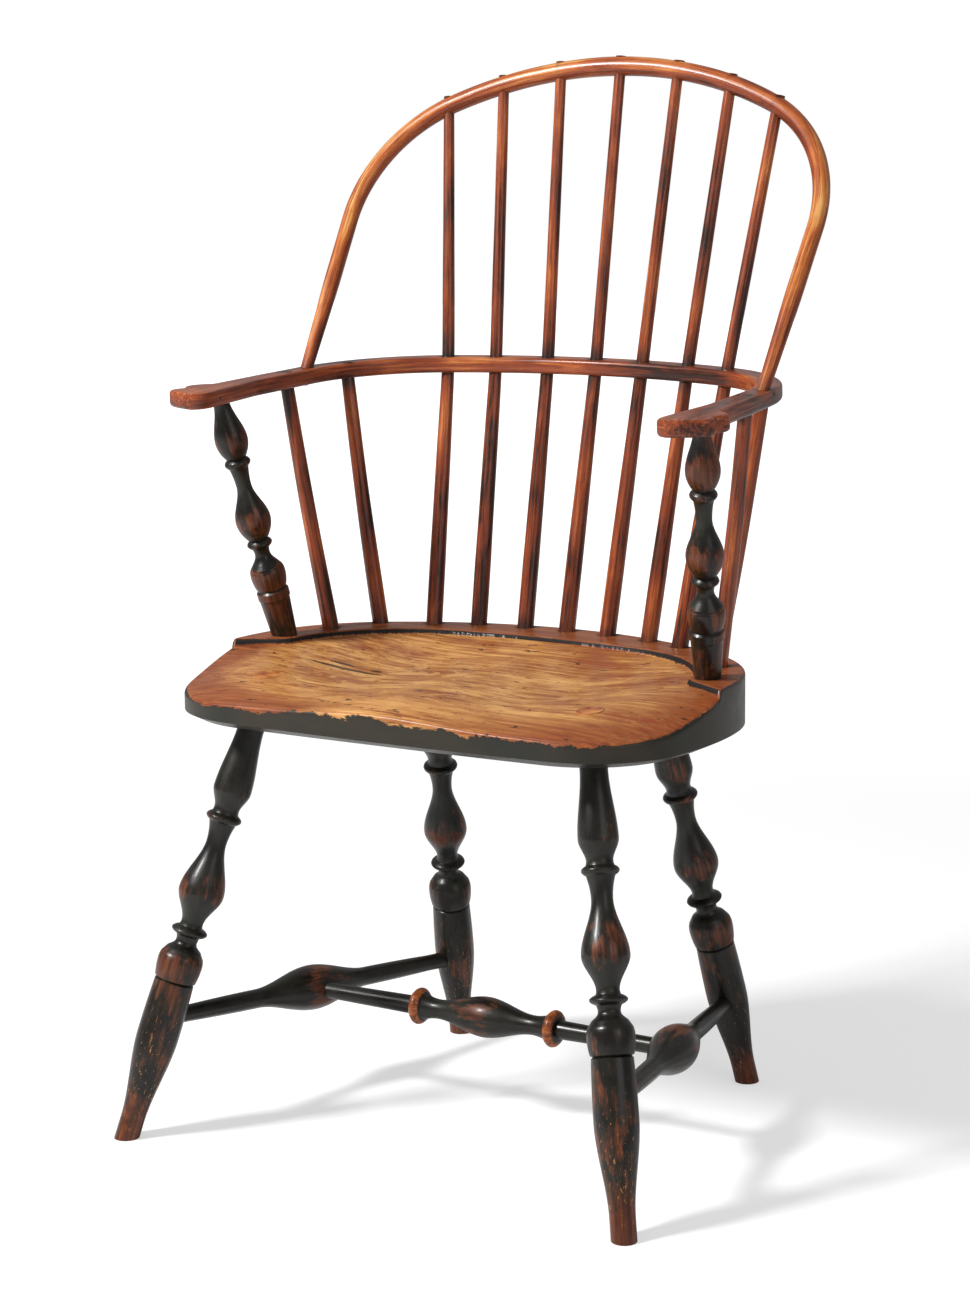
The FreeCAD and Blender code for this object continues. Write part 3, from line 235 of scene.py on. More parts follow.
HONEY = srgb(196, 132, 70)
PALE = srgb(214, 163, 100)
CHESTNUT = srgb(136, 62, 31)
RED_BROWN = srgb(104, 46, 24)
AMBER = srgb(172, 94, 44)
DARK_BROWN = srgb(44, 21, 12)
BLACK_BROWN = srgb(18, 13, 10)
OLD_PAINT = srgb(30, 30, 23)
WORN_RED = srgb(92, 44, 22)
ORANGE_BROWN = srgb(142, 76, 38)
IRON = srgb(26, 22, 20)
SADDLE_BROWN = srgb(146, 88, 44)
TAN = srgb(178, 122, 66)
RUSSET = srgb(150, 78, 36)
DULL_PAINT = srgb(44, 36, 26)


class Shader:
    """Short way to write a node material around one Principled shader."""

    def __init__(self, name):
        self.material = bpy.data.materials.new(name)
        self.material.use_nodes = True
        self.tree = self.material.node_tree
        self.surface = self.tree.nodes["Principled BSDF"]

    def add(self, kind, inputs, **settings):
        """New node, with its inputs set to values or linked to sockets."""
        node = self.tree.nodes.new(kind)
        for name, value in settings.items():
            setattr(node, name, value)
        for key, value in inputs.items():
            self.feed(node.inputs[key], value)
        return node

    def feed(self, socket, value):
        """Set a socket to a value, or link it."""
        if isinstance(value, bpy.types.NodeSocket):
            self.tree.links.new(value, socket)
        else:
            socket.default_value = value

    def attribute(self, name, vector=False):
        """Number or vector stored on the mesh."""
        node = self.add("ShaderNodeAttribute", {}, attribute_name=name)
        return node.outputs["Vector" if vector else "Fac"]

    def math(self, operation, first, second=0.0):
        """Result of one operation on two numbers."""
        return self.add("ShaderNodeMath", {0: first, 1: second}, operation=operation).outputs[0]

    def times(self, first, second):
        """Product."""
        return self.math("MULTIPLY", first, second)

    def noise(self, scale, along_grain, detail=4.0, roughness=0.55, distortion=0.0):
        """Noise on the piece's own wood coordinates, whose Z runs along the grain."""
        inputs = {0: self.attribute("grain", True), 1: (1, 1, along_grain)}
        scaled = self.add("ShaderNodeVectorMath", inputs, operation="MULTIPLY")
        inputs = {
            "Vector": scaled.outputs[0],
            "Scale": scale,
            "Detail": detail,
            "Roughness": roughness,
            "Distortion": distortion,
        }
        return self.add("ShaderNodeTexNoise", inputs).outputs[0]

    def swing(self, strength, *noise):
        """Noise about zero, as wide as its strength."""
        return self.times(self.math("SUBTRACT", self.noise(*noise), 0.5), strength)

    def total(self, *values):
        """Sum of several values."""
        result = values[0]
        for value in values[1:]:
            result = self.math("ADD", result, value)
        return result

    def step(self, value, low, high):
        """0 below low, 1 above high and smooth between."""
        inputs = {"Value": value, "From Min": low, "From Max": high}
        node = self.add("ShaderNodeMapRange", inputs, interpolation_type="SMOOTHSTEP")
        return node.outputs[0]

    def ramp(self, value, *stops):
        """Colour ramp through (place, colour) stops."""
        node = self.add("ShaderNodeValToRGB", {0: value})
        elements = node.color_ramp.elements
        while len(elements) < len(stops):
            elements.new(0.5)
        for element, (place, colour) in zip(elements, stops):
            element.position = place
            element.color = colour
        return node.outputs[0]

    def mix(self, share, first, second):
        """Colour between two."""
        inputs = {0: share, 6: first, 7: second}
        return self.add("ShaderNodeMix", inputs, data_type="RGBA").outputs[2]

    def done(self, colour, roughness, height=None, bump=0.0, gloss=0.25):
        """Feed the shader and give back the material."""
        self.feed(self.surface.inputs["Base Color"], colour)
        self.feed(self.surface.inputs["Roughness"], roughness)
        self.surface.inputs["Coat Weight"].default_value = gloss
        self.surface.inputs["Coat Roughness"].default_value = 0.18
        self.surface.inputs["Specular IOR Level"].default_value = 0.26
        if height is not None:
            inputs = {"Height": height, "Distance": bump, "Strength": 1.0}
            normal = self.add("ShaderNodeBump", inputs).outputs[0]
            self.feed(self.surface.inputs["Normal"], normal)
        return self.material


def polished_wood(name, tone_level):
    """Bent and shaved wood: red-brown with honey streaks, dark in its joints."""
    wood = Shader(name)
    streaks = wood.swing(1.7, 330, 0.035, 6.0, 0.66, 0.5)
    pores = wood.noise(1200, 0.022, 3.0, 0.6)
    clouds = wood.swing(1.5, 26, 0.4, 4.0, 0.55)
    # Lighter where the wear attribute is high: real wear on the hand-holds and spindles, painted
    # highlight on the rail's top and the bow's upper front side.
    wear_and_sheen = wood.times(wood.attribute("wear_and_sheen"), 0.36)
    tone = wood.total(streaks, clouds, wear_and_sheen, tone_level)
    browns = (0.0, DARK_BROWN), (0.18, RED_BROWN), (0.42, CHESTNUT)
    colour = wood.ramp(tone, *browns, (0.66, AMBER), (0.86, HONEY), (1.0, PALE))
    dark_pores = wood.times(wood.step(pores, 0.55, 0.68), 0.5)
    colour = wood.mix(dark_pores, colour, DARK_BROWN)
    grime = wood.total(wood.attribute("dirt"), wood.swing(0.9, 60, 0.3, 5.0, 0.7))
    colour = wood.mix(wood.step(grime, 0.32, 0.85), colour, BLACK_BROWN)
    roughness = wood.total(0.32, wood.swing(0.5, 60, 0.3, 5.0, 0.7))
    return wood.done(colour, roughness, pores, bump=0.0002, gloss=0.22)


def painted_wood(name, red_share, pale_share):
    """Turned wood under old dark paint, worn through on its swellings and at its feet."""
    wood = Shader(name)
    streaks = wood.swing(2.2, 260, 0.05, 5.0, 0.64, 0.4)
    clouds = wood.swing(1.7, 60, 0.5, 6.0, 0.66)
    patches = wood.swing(1.7, 16, 0.6, 4.0, 0.55)
    browns = (0.05, DARK_BROWN), (0.5, WORN_RED), (1.0, ORANGE_BROWN)
    under = wood.ramp(wood.total(streaks, 0.5), *browns)
    paint = wood.mix(wood.step(clouds, -0.25, 0.3), BLACK_BROWN, OLD_PAINT)
    wear_and_sheen = wood.times(wood.attribute("wear_and_sheen"), 0.5)
    dirt = wood.times(wood.attribute("dirt"), -0.5)
    rub = wood.total(clouds, patches, wear_and_sheen, dirt, wood.times(streaks, 0.3))
    worn = wood.step(rub, 0.42 - red_share, 0.72 - red_share)
    colour = wood.mix(wood.times(worn, 0.62), paint, under)
    bare = wood.step(wood.total(wood.attribute("foot"), clouds), 0.3, 0.8)
    colour = wood.mix(wood.times(bare, 0.8), colour, under)
    chips = wood.noise(420, 0.3, 6.0, 0.8)
    chips = wood.total(chips, wood.times(patches, 0.1))
    chipped = wood.times(wood.step(chips, 0.6, 0.65), wood.attribute("scratched"))
    chipped = wood.times(chipped, pale_share)
    colour = wood.mix(chipped, colour, HONEY)
    rim = wood.mix(wood.step(streaks, -0.4, 0.5), WORN_RED, AMBER)
    colour = wood.mix(wood.attribute("rim"), colour, rim)
    end_grain = wood.mix(wood.step(clouds, -0.3, 0.3), CHESTNUT, HONEY)
    colour = wood.mix(wood.attribute("end"), colour, end_grain)
    roughness = wood.total(0.36, wood.times(clouds, 0.3))
    height = wood.total(streaks, wood.times(chipped, -1.0))
    return wood.done(colour, roughness, height, bump=0.00012, gloss=0.12)


def seat_wood(name):
    """Seat plank: honey saddle, red-brown margins and deck, dark paint on its sides."""
    wood = Shader(name)
    streaks = wood.swing(2.4, 210, 0.045, 7.0, 0.68, 0.8)
    pores = wood.noise(800, 0.03, 4.0, 0.65)
    clouds = wood.swing(2.0, 24, 0.4, 6.0, 0.62)
    flakes = wood.noise(40, 0.6, 9.0, 0.74, 0.5)
    tone = wood.total(streaks, clouds, 0.48)
    colour = wood.ramp(tone, (0.0, CHESTNUT), (0.28, SADDLE_BROWN), (0.6, TAN), (0.95, PALE))
    bare = wood.times(wood.step(flakes, 0.53, 0.545), wood.attribute("bare"))
    colour = wood.mix(wood.times(bare, 0.75), colour, PALE)
    margin = wood.total(wood.attribute("margin"), clouds, wood.times(streaks, 0.3))
    red = wood.mix(wood.step(streaks, -0.5, 0.6), RED_BROWN, RUSSET)
    colour = wood.mix(wood.times(wood.step(margin, 0.25, 0.8), 0.9), colour, red)
    dark_pores = wood.times(wood.step(pores, 0.56, 0.68), 0.6)
    colour = wood.mix(dark_pores, colour, RED_BROWN)
    specks = wood.step(wood.noise(170, 0.4, 4.0, 0.6), 0.64, 0.67)
    crack = wood.total(wood.attribute("stain"), wood.swing(0.8, 170, 0.12, 4.0, 0.6))
    dark = wood.math("MAXIMUM", specks, wood.step(crack, 0.4, 0.6))
    colour = wood.mix(wood.times(dark, 0.85), colour, BLACK_BROWN)
    grime = wood.total(wood.attribute("dirt"), wood.times(clouds, 0.25))
    grime = wood.step(grime, 0.35, 0.75)
    colour = wood.mix(grime, colour, BLACK_BROWN)
    peel = wood.times(wood.math("SUBTRACT", flakes, 0.5), 2.6)
    painted = wood.step(wood.total(wood.attribute("paint"), peel), 0.62, 0.68)
    coat = wood.mix(wood.step(clouds, -0.4, 0.4), OLD_PAINT, DULL_PAINT)
    colour = wood.mix(painted, colour, coat)
    roughness = wood.total(0.42, wood.times(clouds, 0.2), wood.times(grime, 0.3))
    height = wood.total(wood.times(pores, -0.6), wood.times(painted, 0.8))
    return wood.done(colour, roughness, height, bump=0.0003, gloss=0.1)


def plain_finish(name, colour, roughness):
    """Small dark pieces such as nail heads and wedges, mottled a little."""
    shader = Shader(name)
    generated = shader.add("ShaderNodeTexCoord", {}).outputs["Object"]
    mottle = shader.add("ShaderNodeTexNoise", {"Vector": generated, "Scale": 400.0}).outputs[0]
    dark = tuple(value * 0.5 for value in colour[:3]) + (1,)
    return shader.done(shader.mix(mottle, dark, colour), roughness, gloss=0.1)


def linked(name, data):
    """Object of some data, in the scene."""
    piece = bpy.data.objects.new(name, data)
    bpy.context.scene.collection.objects.link(piece)
    return piece


def mesh_object(name, points, faces, material):
    """Object of a mesh, from points in millimetres."""
    mesh = bpy.data.meshes.new(name)
    mesh.from_pydata((np.asarray(points) * MM).tolist(), [], faces)
    mesh.materials.append(material)
    return linked(name, mesh)


def mesh_piece(name, points, numbers, material):
    """Closed object from rings of points, with numbers stored for each ring or point."""
    rows, columns = points.shape[:2]
    index = np.arange(rows * columns).reshape(rows, columns)
    after = np.roll(index, -1, axis=1)
    quads = np.stack([index[:-1], after[:-1], after[1:], index[1:]], axis=-1).reshape(-1, 4)
    faces = quads.tolist() + [index[0].tolist()[::-1], index[-1].tolist()]
    piece = mesh_object(name, points.reshape(-1, 3), faces, material)
    piece.data.polygons.foreach_set("use_smooth", [len(face) == 4 for face in faces])
    for key, values in numbers.items():
        if values.ndim == 1:
            values = np.repeat(values, columns)
        kind, field = ("FLOAT_VECTOR", "vector") if values.ndim == 3 else ("FLOAT", "value")
        attribute = piece.data.attributes.new(key, kind, "POINT")
        attribute.data.foreach_set(field, values.astype(np.float32).ravel())
    piece.data.update()
    return piece


def place(piece, slot, *nodes):
    """Let a piece stand for its nodes and ride on the chair's only body."""
    if nodes:
        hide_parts(*nodes)
    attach(piece, "root")
    return piece


def sharpen(piece, degrees=38):
    """Keep edges steeper than an angle sharp in shading."""
    piece.data.set_sharp_from_angle(angle=math.radians(degrees))


def unit(vector):
    """Vector, or each row of several, made one long."""
    return vector / np.linalg.norm(vector, axis=-1, keepdims=True)


def mirrored(point, side):
    """Point on one side of the chair."""
    return np.array([side * point[0], *point[1:]], float)


def both_sides(right):
    """Flat line of the right half, with its mirror image from the middle on."""
    return np.concatenate([right, (right * FLIP)[-2::-1]])


def bearing(vector):
    """Angle of a flat vector."""
    return math.atan2(vector[1], vector[0])


def spoke(angle):
    """Flat vector one long at an angle."""
    return np.array([math.cos(angle), math.sin(angle)])


def arc(centre, radius, angles):
    """Points of a circle at some angles."""
    return [centre + radius * spoke(angle) for angle in angles]


def bend_centre(crown, across, reach):
    """Centre at X across, ahead of a crown's centre on X = 0 and a distance from it."""
    return crown + np.array([across, math.sqrt(reach ** 2 - across ** 2)])


def along(path):
    """Distance from the start of a path to each of its points."""
    return np.concatenate([[0], np.cumsum(np.linalg.norm(np.diff(path, axis=0), axis=1))])


def ease(share, from_level, to_level):
    """Share of the way along a span of an outline whose ends are level or have a corner."""
    if from_level and to_level:
        return share * share * (3 - 2 * share)
    if from_level:
        return share * share
    if to_level:
        return 1 - (1 - share) ** 2
    return share


def outline(stations, start, end):
    """Heights and radii along a turned outline, between two heights."""
    heights = []
    radii = []
    for (low, first, *level), (high, second, *next_level) in zip(stations, stations[1:]):
        steps = max(2, int((high - low) * RINGS_PER_MM))
        share = np.arange(steps) / steps
        heights += list(low + (high - low) * share)
        radii += list((first + (second - first) * ease(share, level, next_level)) / 2)
    heights = np.array(heights + [stations[-1][0]])
    radii = np.array(radii + [stations[-1][1] / 2])
    kept = heights[(heights > start) & (heights < end)]
    cut = np.concatenate([[start], kept, [end]])
    return cut, np.interp(cut, heights, radii)


def twin(stations):
    """Outline mirrored about height zero."""
    return [(-height, *rest) for height, *rest in stations[:0:-1]] + list(stations)


def axes_of(direction):
    """Two directions square to a given one."""
    sideways = unit(np.cross(direction, (0.31, 0.95, 0.05)))
    return sideways, np.cross(direction, sideways)


def hollow_dirt(heights, radii, reach=5):
    """How deep each ring lies below its neighbourhood: 1 in necks and grooves, 0 on swellings."""
    gaps = np.abs(heights[:, None] - heights[None, :])
    weights = np.clip(1 - gaps / (reach * 2), 0, None)
    around = (weights * radii[None, :]).sum(1) / weights.sum(1)
    return np.clip((around - radii) / 1.6, 0, 1)


def wood_grain(reach, angles, places):
    """Wood coordinates of rings, with Z along the grain, from a random place in the wood."""
    grain = [reach * np.cos(angles), reach * np.sin(angles), places[:, None] + 0 * reach]
    return np.stack(grain, -1) * MM + random.uniform(1, 9)


def lathe(
    name, start, end, stations, limits, material, slot, nodes, foot=False, level=None, rims=False
):
    """Turned piece from start towards end, with its rings on an outline between two limits.

    With foot it stands flat on the floor, worn and scratched near it. With level it ends at the
    height of that function. With rims its thick rings away from the middle are rubbed.
    """
    direction = unit(np.subtract(end, start))
    first, second = axes_of(direction)
    heights, radii = outline(stations, *limits)
    angles = np.linspace(0, 2 * math.pi, AROUND, endpoint=False)
    circle = np.cos(angles)[:, None] * first + np.sin(angles)[:, None] * second
    phase = random.uniform(0, 6)
    wobble = 1 + LATHE_WOBBLE * np.sin(2 * angles + heights[:, None] / 40 + phase)
    points = start + heights[:, None, None] * direction + (radii[:, None] * wobble)[..., None] * circle
    if foot:
        points += np.clip(-points[..., 2:], 0, None) * direction / direction[2]
    if level:
        above = points[..., 2] - level(points[..., 0], points[..., 1])
        points -= np.clip(above, 0, None)[..., None] * direction / direction[2]
    thinnest, thickest = radii.min(), radii.max()
    from_scratches = np.abs(heights - SCRATCHED_HEIGHT) / SCRATCHED_REACH
    numbers = {
        "grain": wood_grain(radii[:, None] * np.ones(AROUND), angles, heights),
        "rim": rims * (np.abs(heights) > RIM_FROM) * (radii > RIM_RADIUS),
        "end": bool(level) * np.clip((points[..., 2] - SADDLE_LOWEST) / 4, 0, 1),
        "wear_and_sheen": np.clip((radii - thinnest) / (thickest - thinnest), 0, 1) ** 1.5,
        "dirt": hollow_dirt(heights, radii),
        "foot": foot * np.clip(1 - heights / BARE_FOOT_HEIGHT, 0, 1),
        "scratched": foot * np.clip(np.clip(1 - from_scratches, 0, 1) * 1.6, 0, 1),
    }
    piece = mesh_piece(name, points, numbers, material)
    sharpen(piece)
    return place(piece, slot, *nodes)


def frames_along(path, sideways):
    """Two directions square to each stretch of a path, the first kept near sideways."""
    ahead = unit(np.gradient(path, axis=0))
    first = unit(sideways - ahead * (ahead @ sideways)[:, None])
    return first, np.cross(ahead, first)


def tube(name, path, radii, sideways, dirt, wear_and_sheen, material, slot, facets=0.012):
    """Hand-shaved rod along a path, in place of the CAD node of its name."""
    first, second = frames_along(path, sideways)
    angles = np.linspace(0, 2 * math.pi, AROUND // 2 + 4, endpoint=False)
    length = along(path)
    phase = random.uniform(0, 6)
    shave = 1 + facets * np.cos(6 * angles + length[:, None] / 90 + phase)
    shave += SHAVE_WAVE * np.sin(length[:, None] / 23 + phase)
    reach = radii[:, None] * shave
    circle = np.cos(angles)[:, None] * first[:, None] + np.sin(angles)[:, None] * second[:, None]
    numbers = {"grain": wood_grain(reach, angles, length), "dirt": dirt, "wear_and_sheen": wear_and_sheen(circle)}
    points = path[:, None] + reach[..., None] * circle
    return place(mesh_piece(name + "_visual", points, numbers, material), slot, name)


def even_wear(amount):
    """The same wear all round a rod."""
    return lambda circle: np.full(circle.shape[:2], amount)


def rail_point(x, y, z=0.0):
    """Point of the chair from the arm rail's own plane."""
    up = y * math.sin(RAIL_SLOPE) + z * math.cos(RAIL_SLOPE)
    return np.array([x, y * math.cos(RAIL_SLOPE) - z * math.sin(RAIL_SLOPE), RAIL_TOP + up])


def on_rail(x, y, below):
    """Point at X and Y of the chair, a distance below the arm rail's top."""
    level = (y - below * math.sin(RAIL_SLOPE)) / math.cos(RAIL_SLOPE)
    return rail_point(x, level, -below)


def rail_arcs():
    """Centres of the arm rail's crown and of its right bend, in its own plane."""
    crown = np.array([0, RAIL_CROWN - RAIL_BACK_RADIUS])
    return crown, bend_centre(crown, RAIL_BEND_CENTRE, RAIL_BACK_RADIUS - RAIL_BEND_RADIUS)


def rail_edges():
    """Inner and outer points of the arm rail's right half, from its crown to its hand-hold."""
    crown, bend = rail_arcs()
    joint = bearing(bend - crown)
    inner = []
    outer = []
    for centre, radius, angles in (
        (crown, RAIL_BACK_RADIUS, np.linspace(QUARTER, joint, RAIL_RINGS["back"] + 1)[:-1]),
        (bend, RAIL_BEND_RADIUS, np.linspace(joint, RAIL_SPLAY, RAIL_RINGS["bend"] + 1)),
    ):
        inner += arc(centre, radius - RAIL_IN, angles)
        outer += arc(centre, radius + RAIL_OUT, angles)
    bend_end = (inner[-1][1], inner[-1][0], outer[-1][0])
    knots = np.array((bend_end, *ARM_OUTLINE, *HAND_OUTLINE))
    arm_end = ARM_OUTLINE[-1][0]
    arm = np.linspace(knots[0, 0] - 1, arm_end, RAIL_RINGS["arm"])
    for y in [*arm, *np.arange(arm_end - 1, HAND_END, -HAND_RING_GAP), HAND_TIP]:
        low, high = (np.interp(-y, -knots[:, 0], knots[:, column]) for column in (1, 2))
        inner.append(np.array([low, y]))
        outer.append(np.array([high, y]))
    return np.array(inner), np.array(outer)


def smoothed(values, passes):
    """Values evened out with their neighbours, with both ends kept."""
    values = values.copy()
    for _ in range(passes):
        values[1:-1] = values[1:-1] * 0.5 + (values[:-2] + values[2:]) * 0.25
    return values


def rail_section(wide):
    """Rounded outline across the arm rail: distances from its inner face and heights."""
    rounding = min(RAIL_ROUNDING, wide / 2 * 0.98)
    corner = np.linspace(0, QUARTER, 6)
    flat = np.linspace(rounding, wide - rounding, 8)[1:-1]
    turn_in = rounding - rounding * np.cos(corner)
    turn_down = rounding - rounding * np.sin(corner)
    across = np.concatenate([turn_in, flat, wide - turn_in[::-1]])
    height = np.concatenate([-turn_down, 0 * flat, -turn_down[::-1]])
    lower = -RAIL_THICKNESS - height[::-1]
    return np.concatenate([across, across[::-1]]), np.concatenate([height, lower])


def make_rail(material):
    """Arm rail and hand-holds, swept from one hand to the other with rounded edges."""
    edges = [smoothed(edge, 2) for edge in rail_edges()]
    inner, outer = (np.concatenate([(edge * FLIP)[:0:-1], edge]) for edge in edges)
    spans = outer - inner
    width = np.linalg.norm(spans, axis=1)
    length = along((inner + outer) / 2)
    rows = []
    grains = []
    for start, span, wide, reach in zip(inner, spans, width, length):
        across, height = rail_section(wide)
        flat = start + (across / wide)[:, None] * span
        rows.append([rail_point(x, y, z) for (x, y), z in zip(flat, height)])
        grains.append(np.stack([across, height, 0 * across + reach], -1))
    points = np.array(rows)
    grain = np.array(grains)
    # Painted highlight along the rail's top face and top edges, made lighter through the wear
    # attribute; on the hand-holds real wear from the hands adds to it.
    top = np.clip(1 + grain[..., 1] / 6, 0, 1)
    hand = np.clip((40 - np.minimum(length, length[-1] - length)) / 40, 0, 1)
    dirt = np.zeros_like(top)
    for x, y, reach in rail_holes():
        gap = np.hypot(points[..., 0] - x, points[..., 1] - y)
        dirt = np.maximum(dirt, np.clip(1.25 - gap / reach, 0, 0.75))
    wear_and_sheen = top * 0.25 + hand[:, None] * top * 0.5
    numbers = {"grain": grain * MM + 3.3, "wear_and_sheen": wear_and_sheen, "dirt": dirt}
    piece = mesh_piece("rail_visual", points, numbers, material)
    sharpen(piece, 60)
    return place(piece, "rail", "arm_rail", "hand_hold_block_left", "hand_hold_block_right")


def rail_holes():
    """Places on the arm rail where other pieces pass, with the reach of the grime round them."""
    for side in SIDES.values():
        for _, _, x, y, _ in LONG_SPINDLES.values():
            yield side * x, y, 14
        for _, _, x, y in SHORT_SPINDLES.values():
            yield side * x, y, 11
        yield side * BOW_FOOT[0], BOW_FOOT[1], 15


def bow_arcs():
    """Centres of the bow's crown and right bend, with the bend's upper and lower angles."""
    crown = np.array([0, BOW_CROWN_HEIGHT - BOW_CROWN_RADIUS])
    across = BOW_HALF_WIDTH - BOW_BEND_RADIUS
    bend = bend_centre(crown, across, BOW_CROWN_RADIUS - BOW_BEND_RADIUS)
    to_foot = np.array([BOW_FOOT[0], 0]) - bend
    lower = bearing(to_foot) + math.acos(BOW_BEND_RADIUS / np.linalg.norm(to_foot))
    return crown, bend, bearing(bend - crown), lower


def bow_point(x, y):
    """Point of the chair from the bow's own plane."""
    foot = on_rail(0, BOW_FOOT[1], 0)
    return foot + np.array([x, y * math.sin(BOW_LEAN), y * math.cos(BOW_LEAN)])


def bow_diameter(near, far, share):
    """Diameter of the bow a share of the way between two named places."""
    return BOW_DIAMETERS[near] + (BOW_DIAMETERS[far] - BOW_DIAMETERS[near]) * share


def bow_half():
    """Right half of the bow's centre line in its plane, from below the rail up, and its diameters."""
    crown, bend, upper, lower = bow_arcs()
    low = bend + spoke(lower) * BOW_BEND_RADIUS
    foot = np.array([BOW_FOOT[0], 0])
    path = [foot + unit(foot - low) * depth for depth in BOW_END_DEPTHS]
    sizes = [BOW_DIAMETERS["end"]] * len(path)
    shares = np.linspace(0.08, 1, BOW_RINGS["side"])[:-1]
    path += [foot + (low - foot) * share for share in shares]
    sizes += list(bow_diameter("end", "side", np.minimum(1, shares * 1.7)))
    for centre, radius, first, last, near, far, steps in (
        (bend, BOW_BEND_RADIUS, lower, upper, "side", "shoulder", BOW_RINGS["bend"]),
        (crown, BOW_CROWN_RADIUS, upper, QUARTER, "shoulder", "crown", BOW_RINGS["crown"]),
    ):
        shares = np.arange(steps) / steps
        path += arc(centre, radius, first + (last - first) * shares)
        sizes += list(bow_diameter(near, far, shares))
    path.append(np.array([0, BOW_CROWN_HEIGHT]))
    sizes.append(BOW_DIAMETERS["crown"])
    return np.array(path), np.array(sizes)


def make_bow(material):
    """Bent bow from one end to the other."""
    half, sizes = bow_half()
    sizes = np.concatenate([sizes, sizes[-2::-1]])
    points = np.array([bow_point(x, y) for x, y in both_sides(half)])
    dirt = np.clip(0.55 - (points[:, 2] - RAIL_TOP) / 60, 0, 0.6)
    for _, x, *_ in long_spindles():
        gap = np.abs(points[:, 0] - x) + 200 * (points[:, 2] < 880)
        dirt = np.maximum(dirt, np.clip(0.42 - gap / 22, 0, 1))
    # Painted highlight, not real wear: the bow's upper front side, which faces the key light, is made
    # lighter.
    upward = np.array([0, -0.45, 0.9])

    def wear_and_sheen(circle):
        return np.clip(circle @ upward, 0, 1) * 0.75

    tube("bow", points, sizes / 2, BOW_NORMAL, dirt, wear_and_sheen, material, "bow", facets=0.004)


def bow_socket(x):
    """Point of the bow's centre line at X, its outward direction and its diameter."""
    path, sizes = bow_half()
    upper_x = -path[BOW_UPPER_RING:, 0]
    flat = np.array([np.interp(-abs(x), upper_x, path[BOW_UPPER_RING:, column]) for column in (0, 1)])
    diameter = np.interp(-abs(x), upper_x, sizes[BOW_UPPER_RING:])
    crown, bend, upper, _ = bow_arcs()
    centre = crown if abs(x) < bend[0] + BOW_BEND_RADIUS * math.cos(upper) else bend
    outer = unit(flat - centre)
    side = math.copysign(1, x)
    out = bow_point(side * outer[0], outer[1]) - bow_point(0, 0)
    return bow_point(side * abs(x), flat[1]), out, diameter


def bent_path(low, middle, high, softness=26, spacing=5):
    """Path through three points whose corner is eased over a distance."""
    into = middle + unit(low - middle) * softness
    out = middle + unit(high - middle) * softness
    share = np.linspace(0, 1, 12)[:, None]
    curve = (1 - share) ** 2 * into + 2 * share * (1 - share) * middle + share ** 2 * out
    first = np.linspace(low, into, int(np.linalg.norm(into - low) / spacing))[:-1]
    last = np.linspace(out, high, int(np.linalg.norm(high - out) / spacing))[1:]
    return np.concatenate([first, curve, last])


def joint_dirt(place_on, *joints):
    """Grime along a rod, most at its joints: place of each, reach and peak."""
    grime = [peak - np.abs(place_on - spot) / reach for spot, reach, peak in joints]
    return np.clip(np.max(grime, axis=0), 0, 1)


def long_spindles():
    """Number of each long spindle, its X at the bow, and its X and Y at the seat and at the rail."""
    for number in range(1, 8):
        side = 1 if number >= 4 else -1
        seat_x, seat_y, rail_x, rail_y, bow_x = LONG_SPINDLES[max(number, 8 - number)]
        yield number, side * bow_x or NEAR_MIDDLE, (side * seat_x, seat_y), (side * rail_x, rail_y)


def make_long_spindles(material):
    """Seven spindles from the seat through the arm rail to the bow."""
    for number, bow_x, at_seat, at_rail in long_spindles():
        foot = np.array([*at_seat, SEAT_TOP])
        middle = on_rail(*at_rail, RAIL_THICKNESS / 2)
        top, outer, diameter = bow_socket(bow_x)
        low = foot + unit(foot - middle) * TENON_DEPTH
        upward = unit(top - middle)
        high = top + upward * (diameter / 2 - 0.5) / (upward @ outer)
        path = bent_path(low, middle, high)
        place_on = along(path)
        seat, rail = np.linalg.norm(foot - low), np.linalg.norm(middle - low)
        bow = place_on[-1] - diameter / 2
        thick = SPINDLE_SEAT_DIAMETER
        sizes = (thick, thick, thick, SPINDLE_RAIL_DIAMETER, SPINDLE_BOW_DIAMETER)
        radii = np.interp(place_on, (0, seat, seat + 60, rail, bow), sizes) / 2
        dirt = joint_dirt(place_on, (seat, 55, 0.62), (rail, 70, 0.75), (bow, 50, 0.7))
        name = f"long_spindle_{number}"
        tube(name, path, radii, SIDEWAYS, dirt, even_wear(0.12), material, "spindles")


def make_spindle_wedges(material):
    """Thin wedges in the spindles' ends, almost flush with the bow."""
    corners = []
    faces = []
    for _, bow_x, *_ in long_spindles():
        spot, outer, diameter = bow_socket(bow_x)
        along_bow = unit(np.cross(BOW_NORMAL, outer))
        first = len(corners)
        for depth, half_width in ((0, 0.9), (-14, 0.35)):
            level = spot + outer * (diameter / 2 + 0.1 + depth)
            for wide, long in ((-1, -1), (1, -1), (1, 1), (-1, 1)):
                across = along_bow * wide * half_width
                corners.append(level + across + BOW_NORMAL * long * WEDGE_HALF_LENGTH)
        ring = [first + step for step in range(4)]
        faces += [ring, [index + 4 for index in ring][::-1]]
        faces += [[a, a + 4, b + 4, b] for a, b in zip(ring, ring[1:] + ring[:1])]
    piece = mesh_object("spindle_wedges_visual", corners, faces, material)
    place(piece, "wedges", "spindle_wedges")


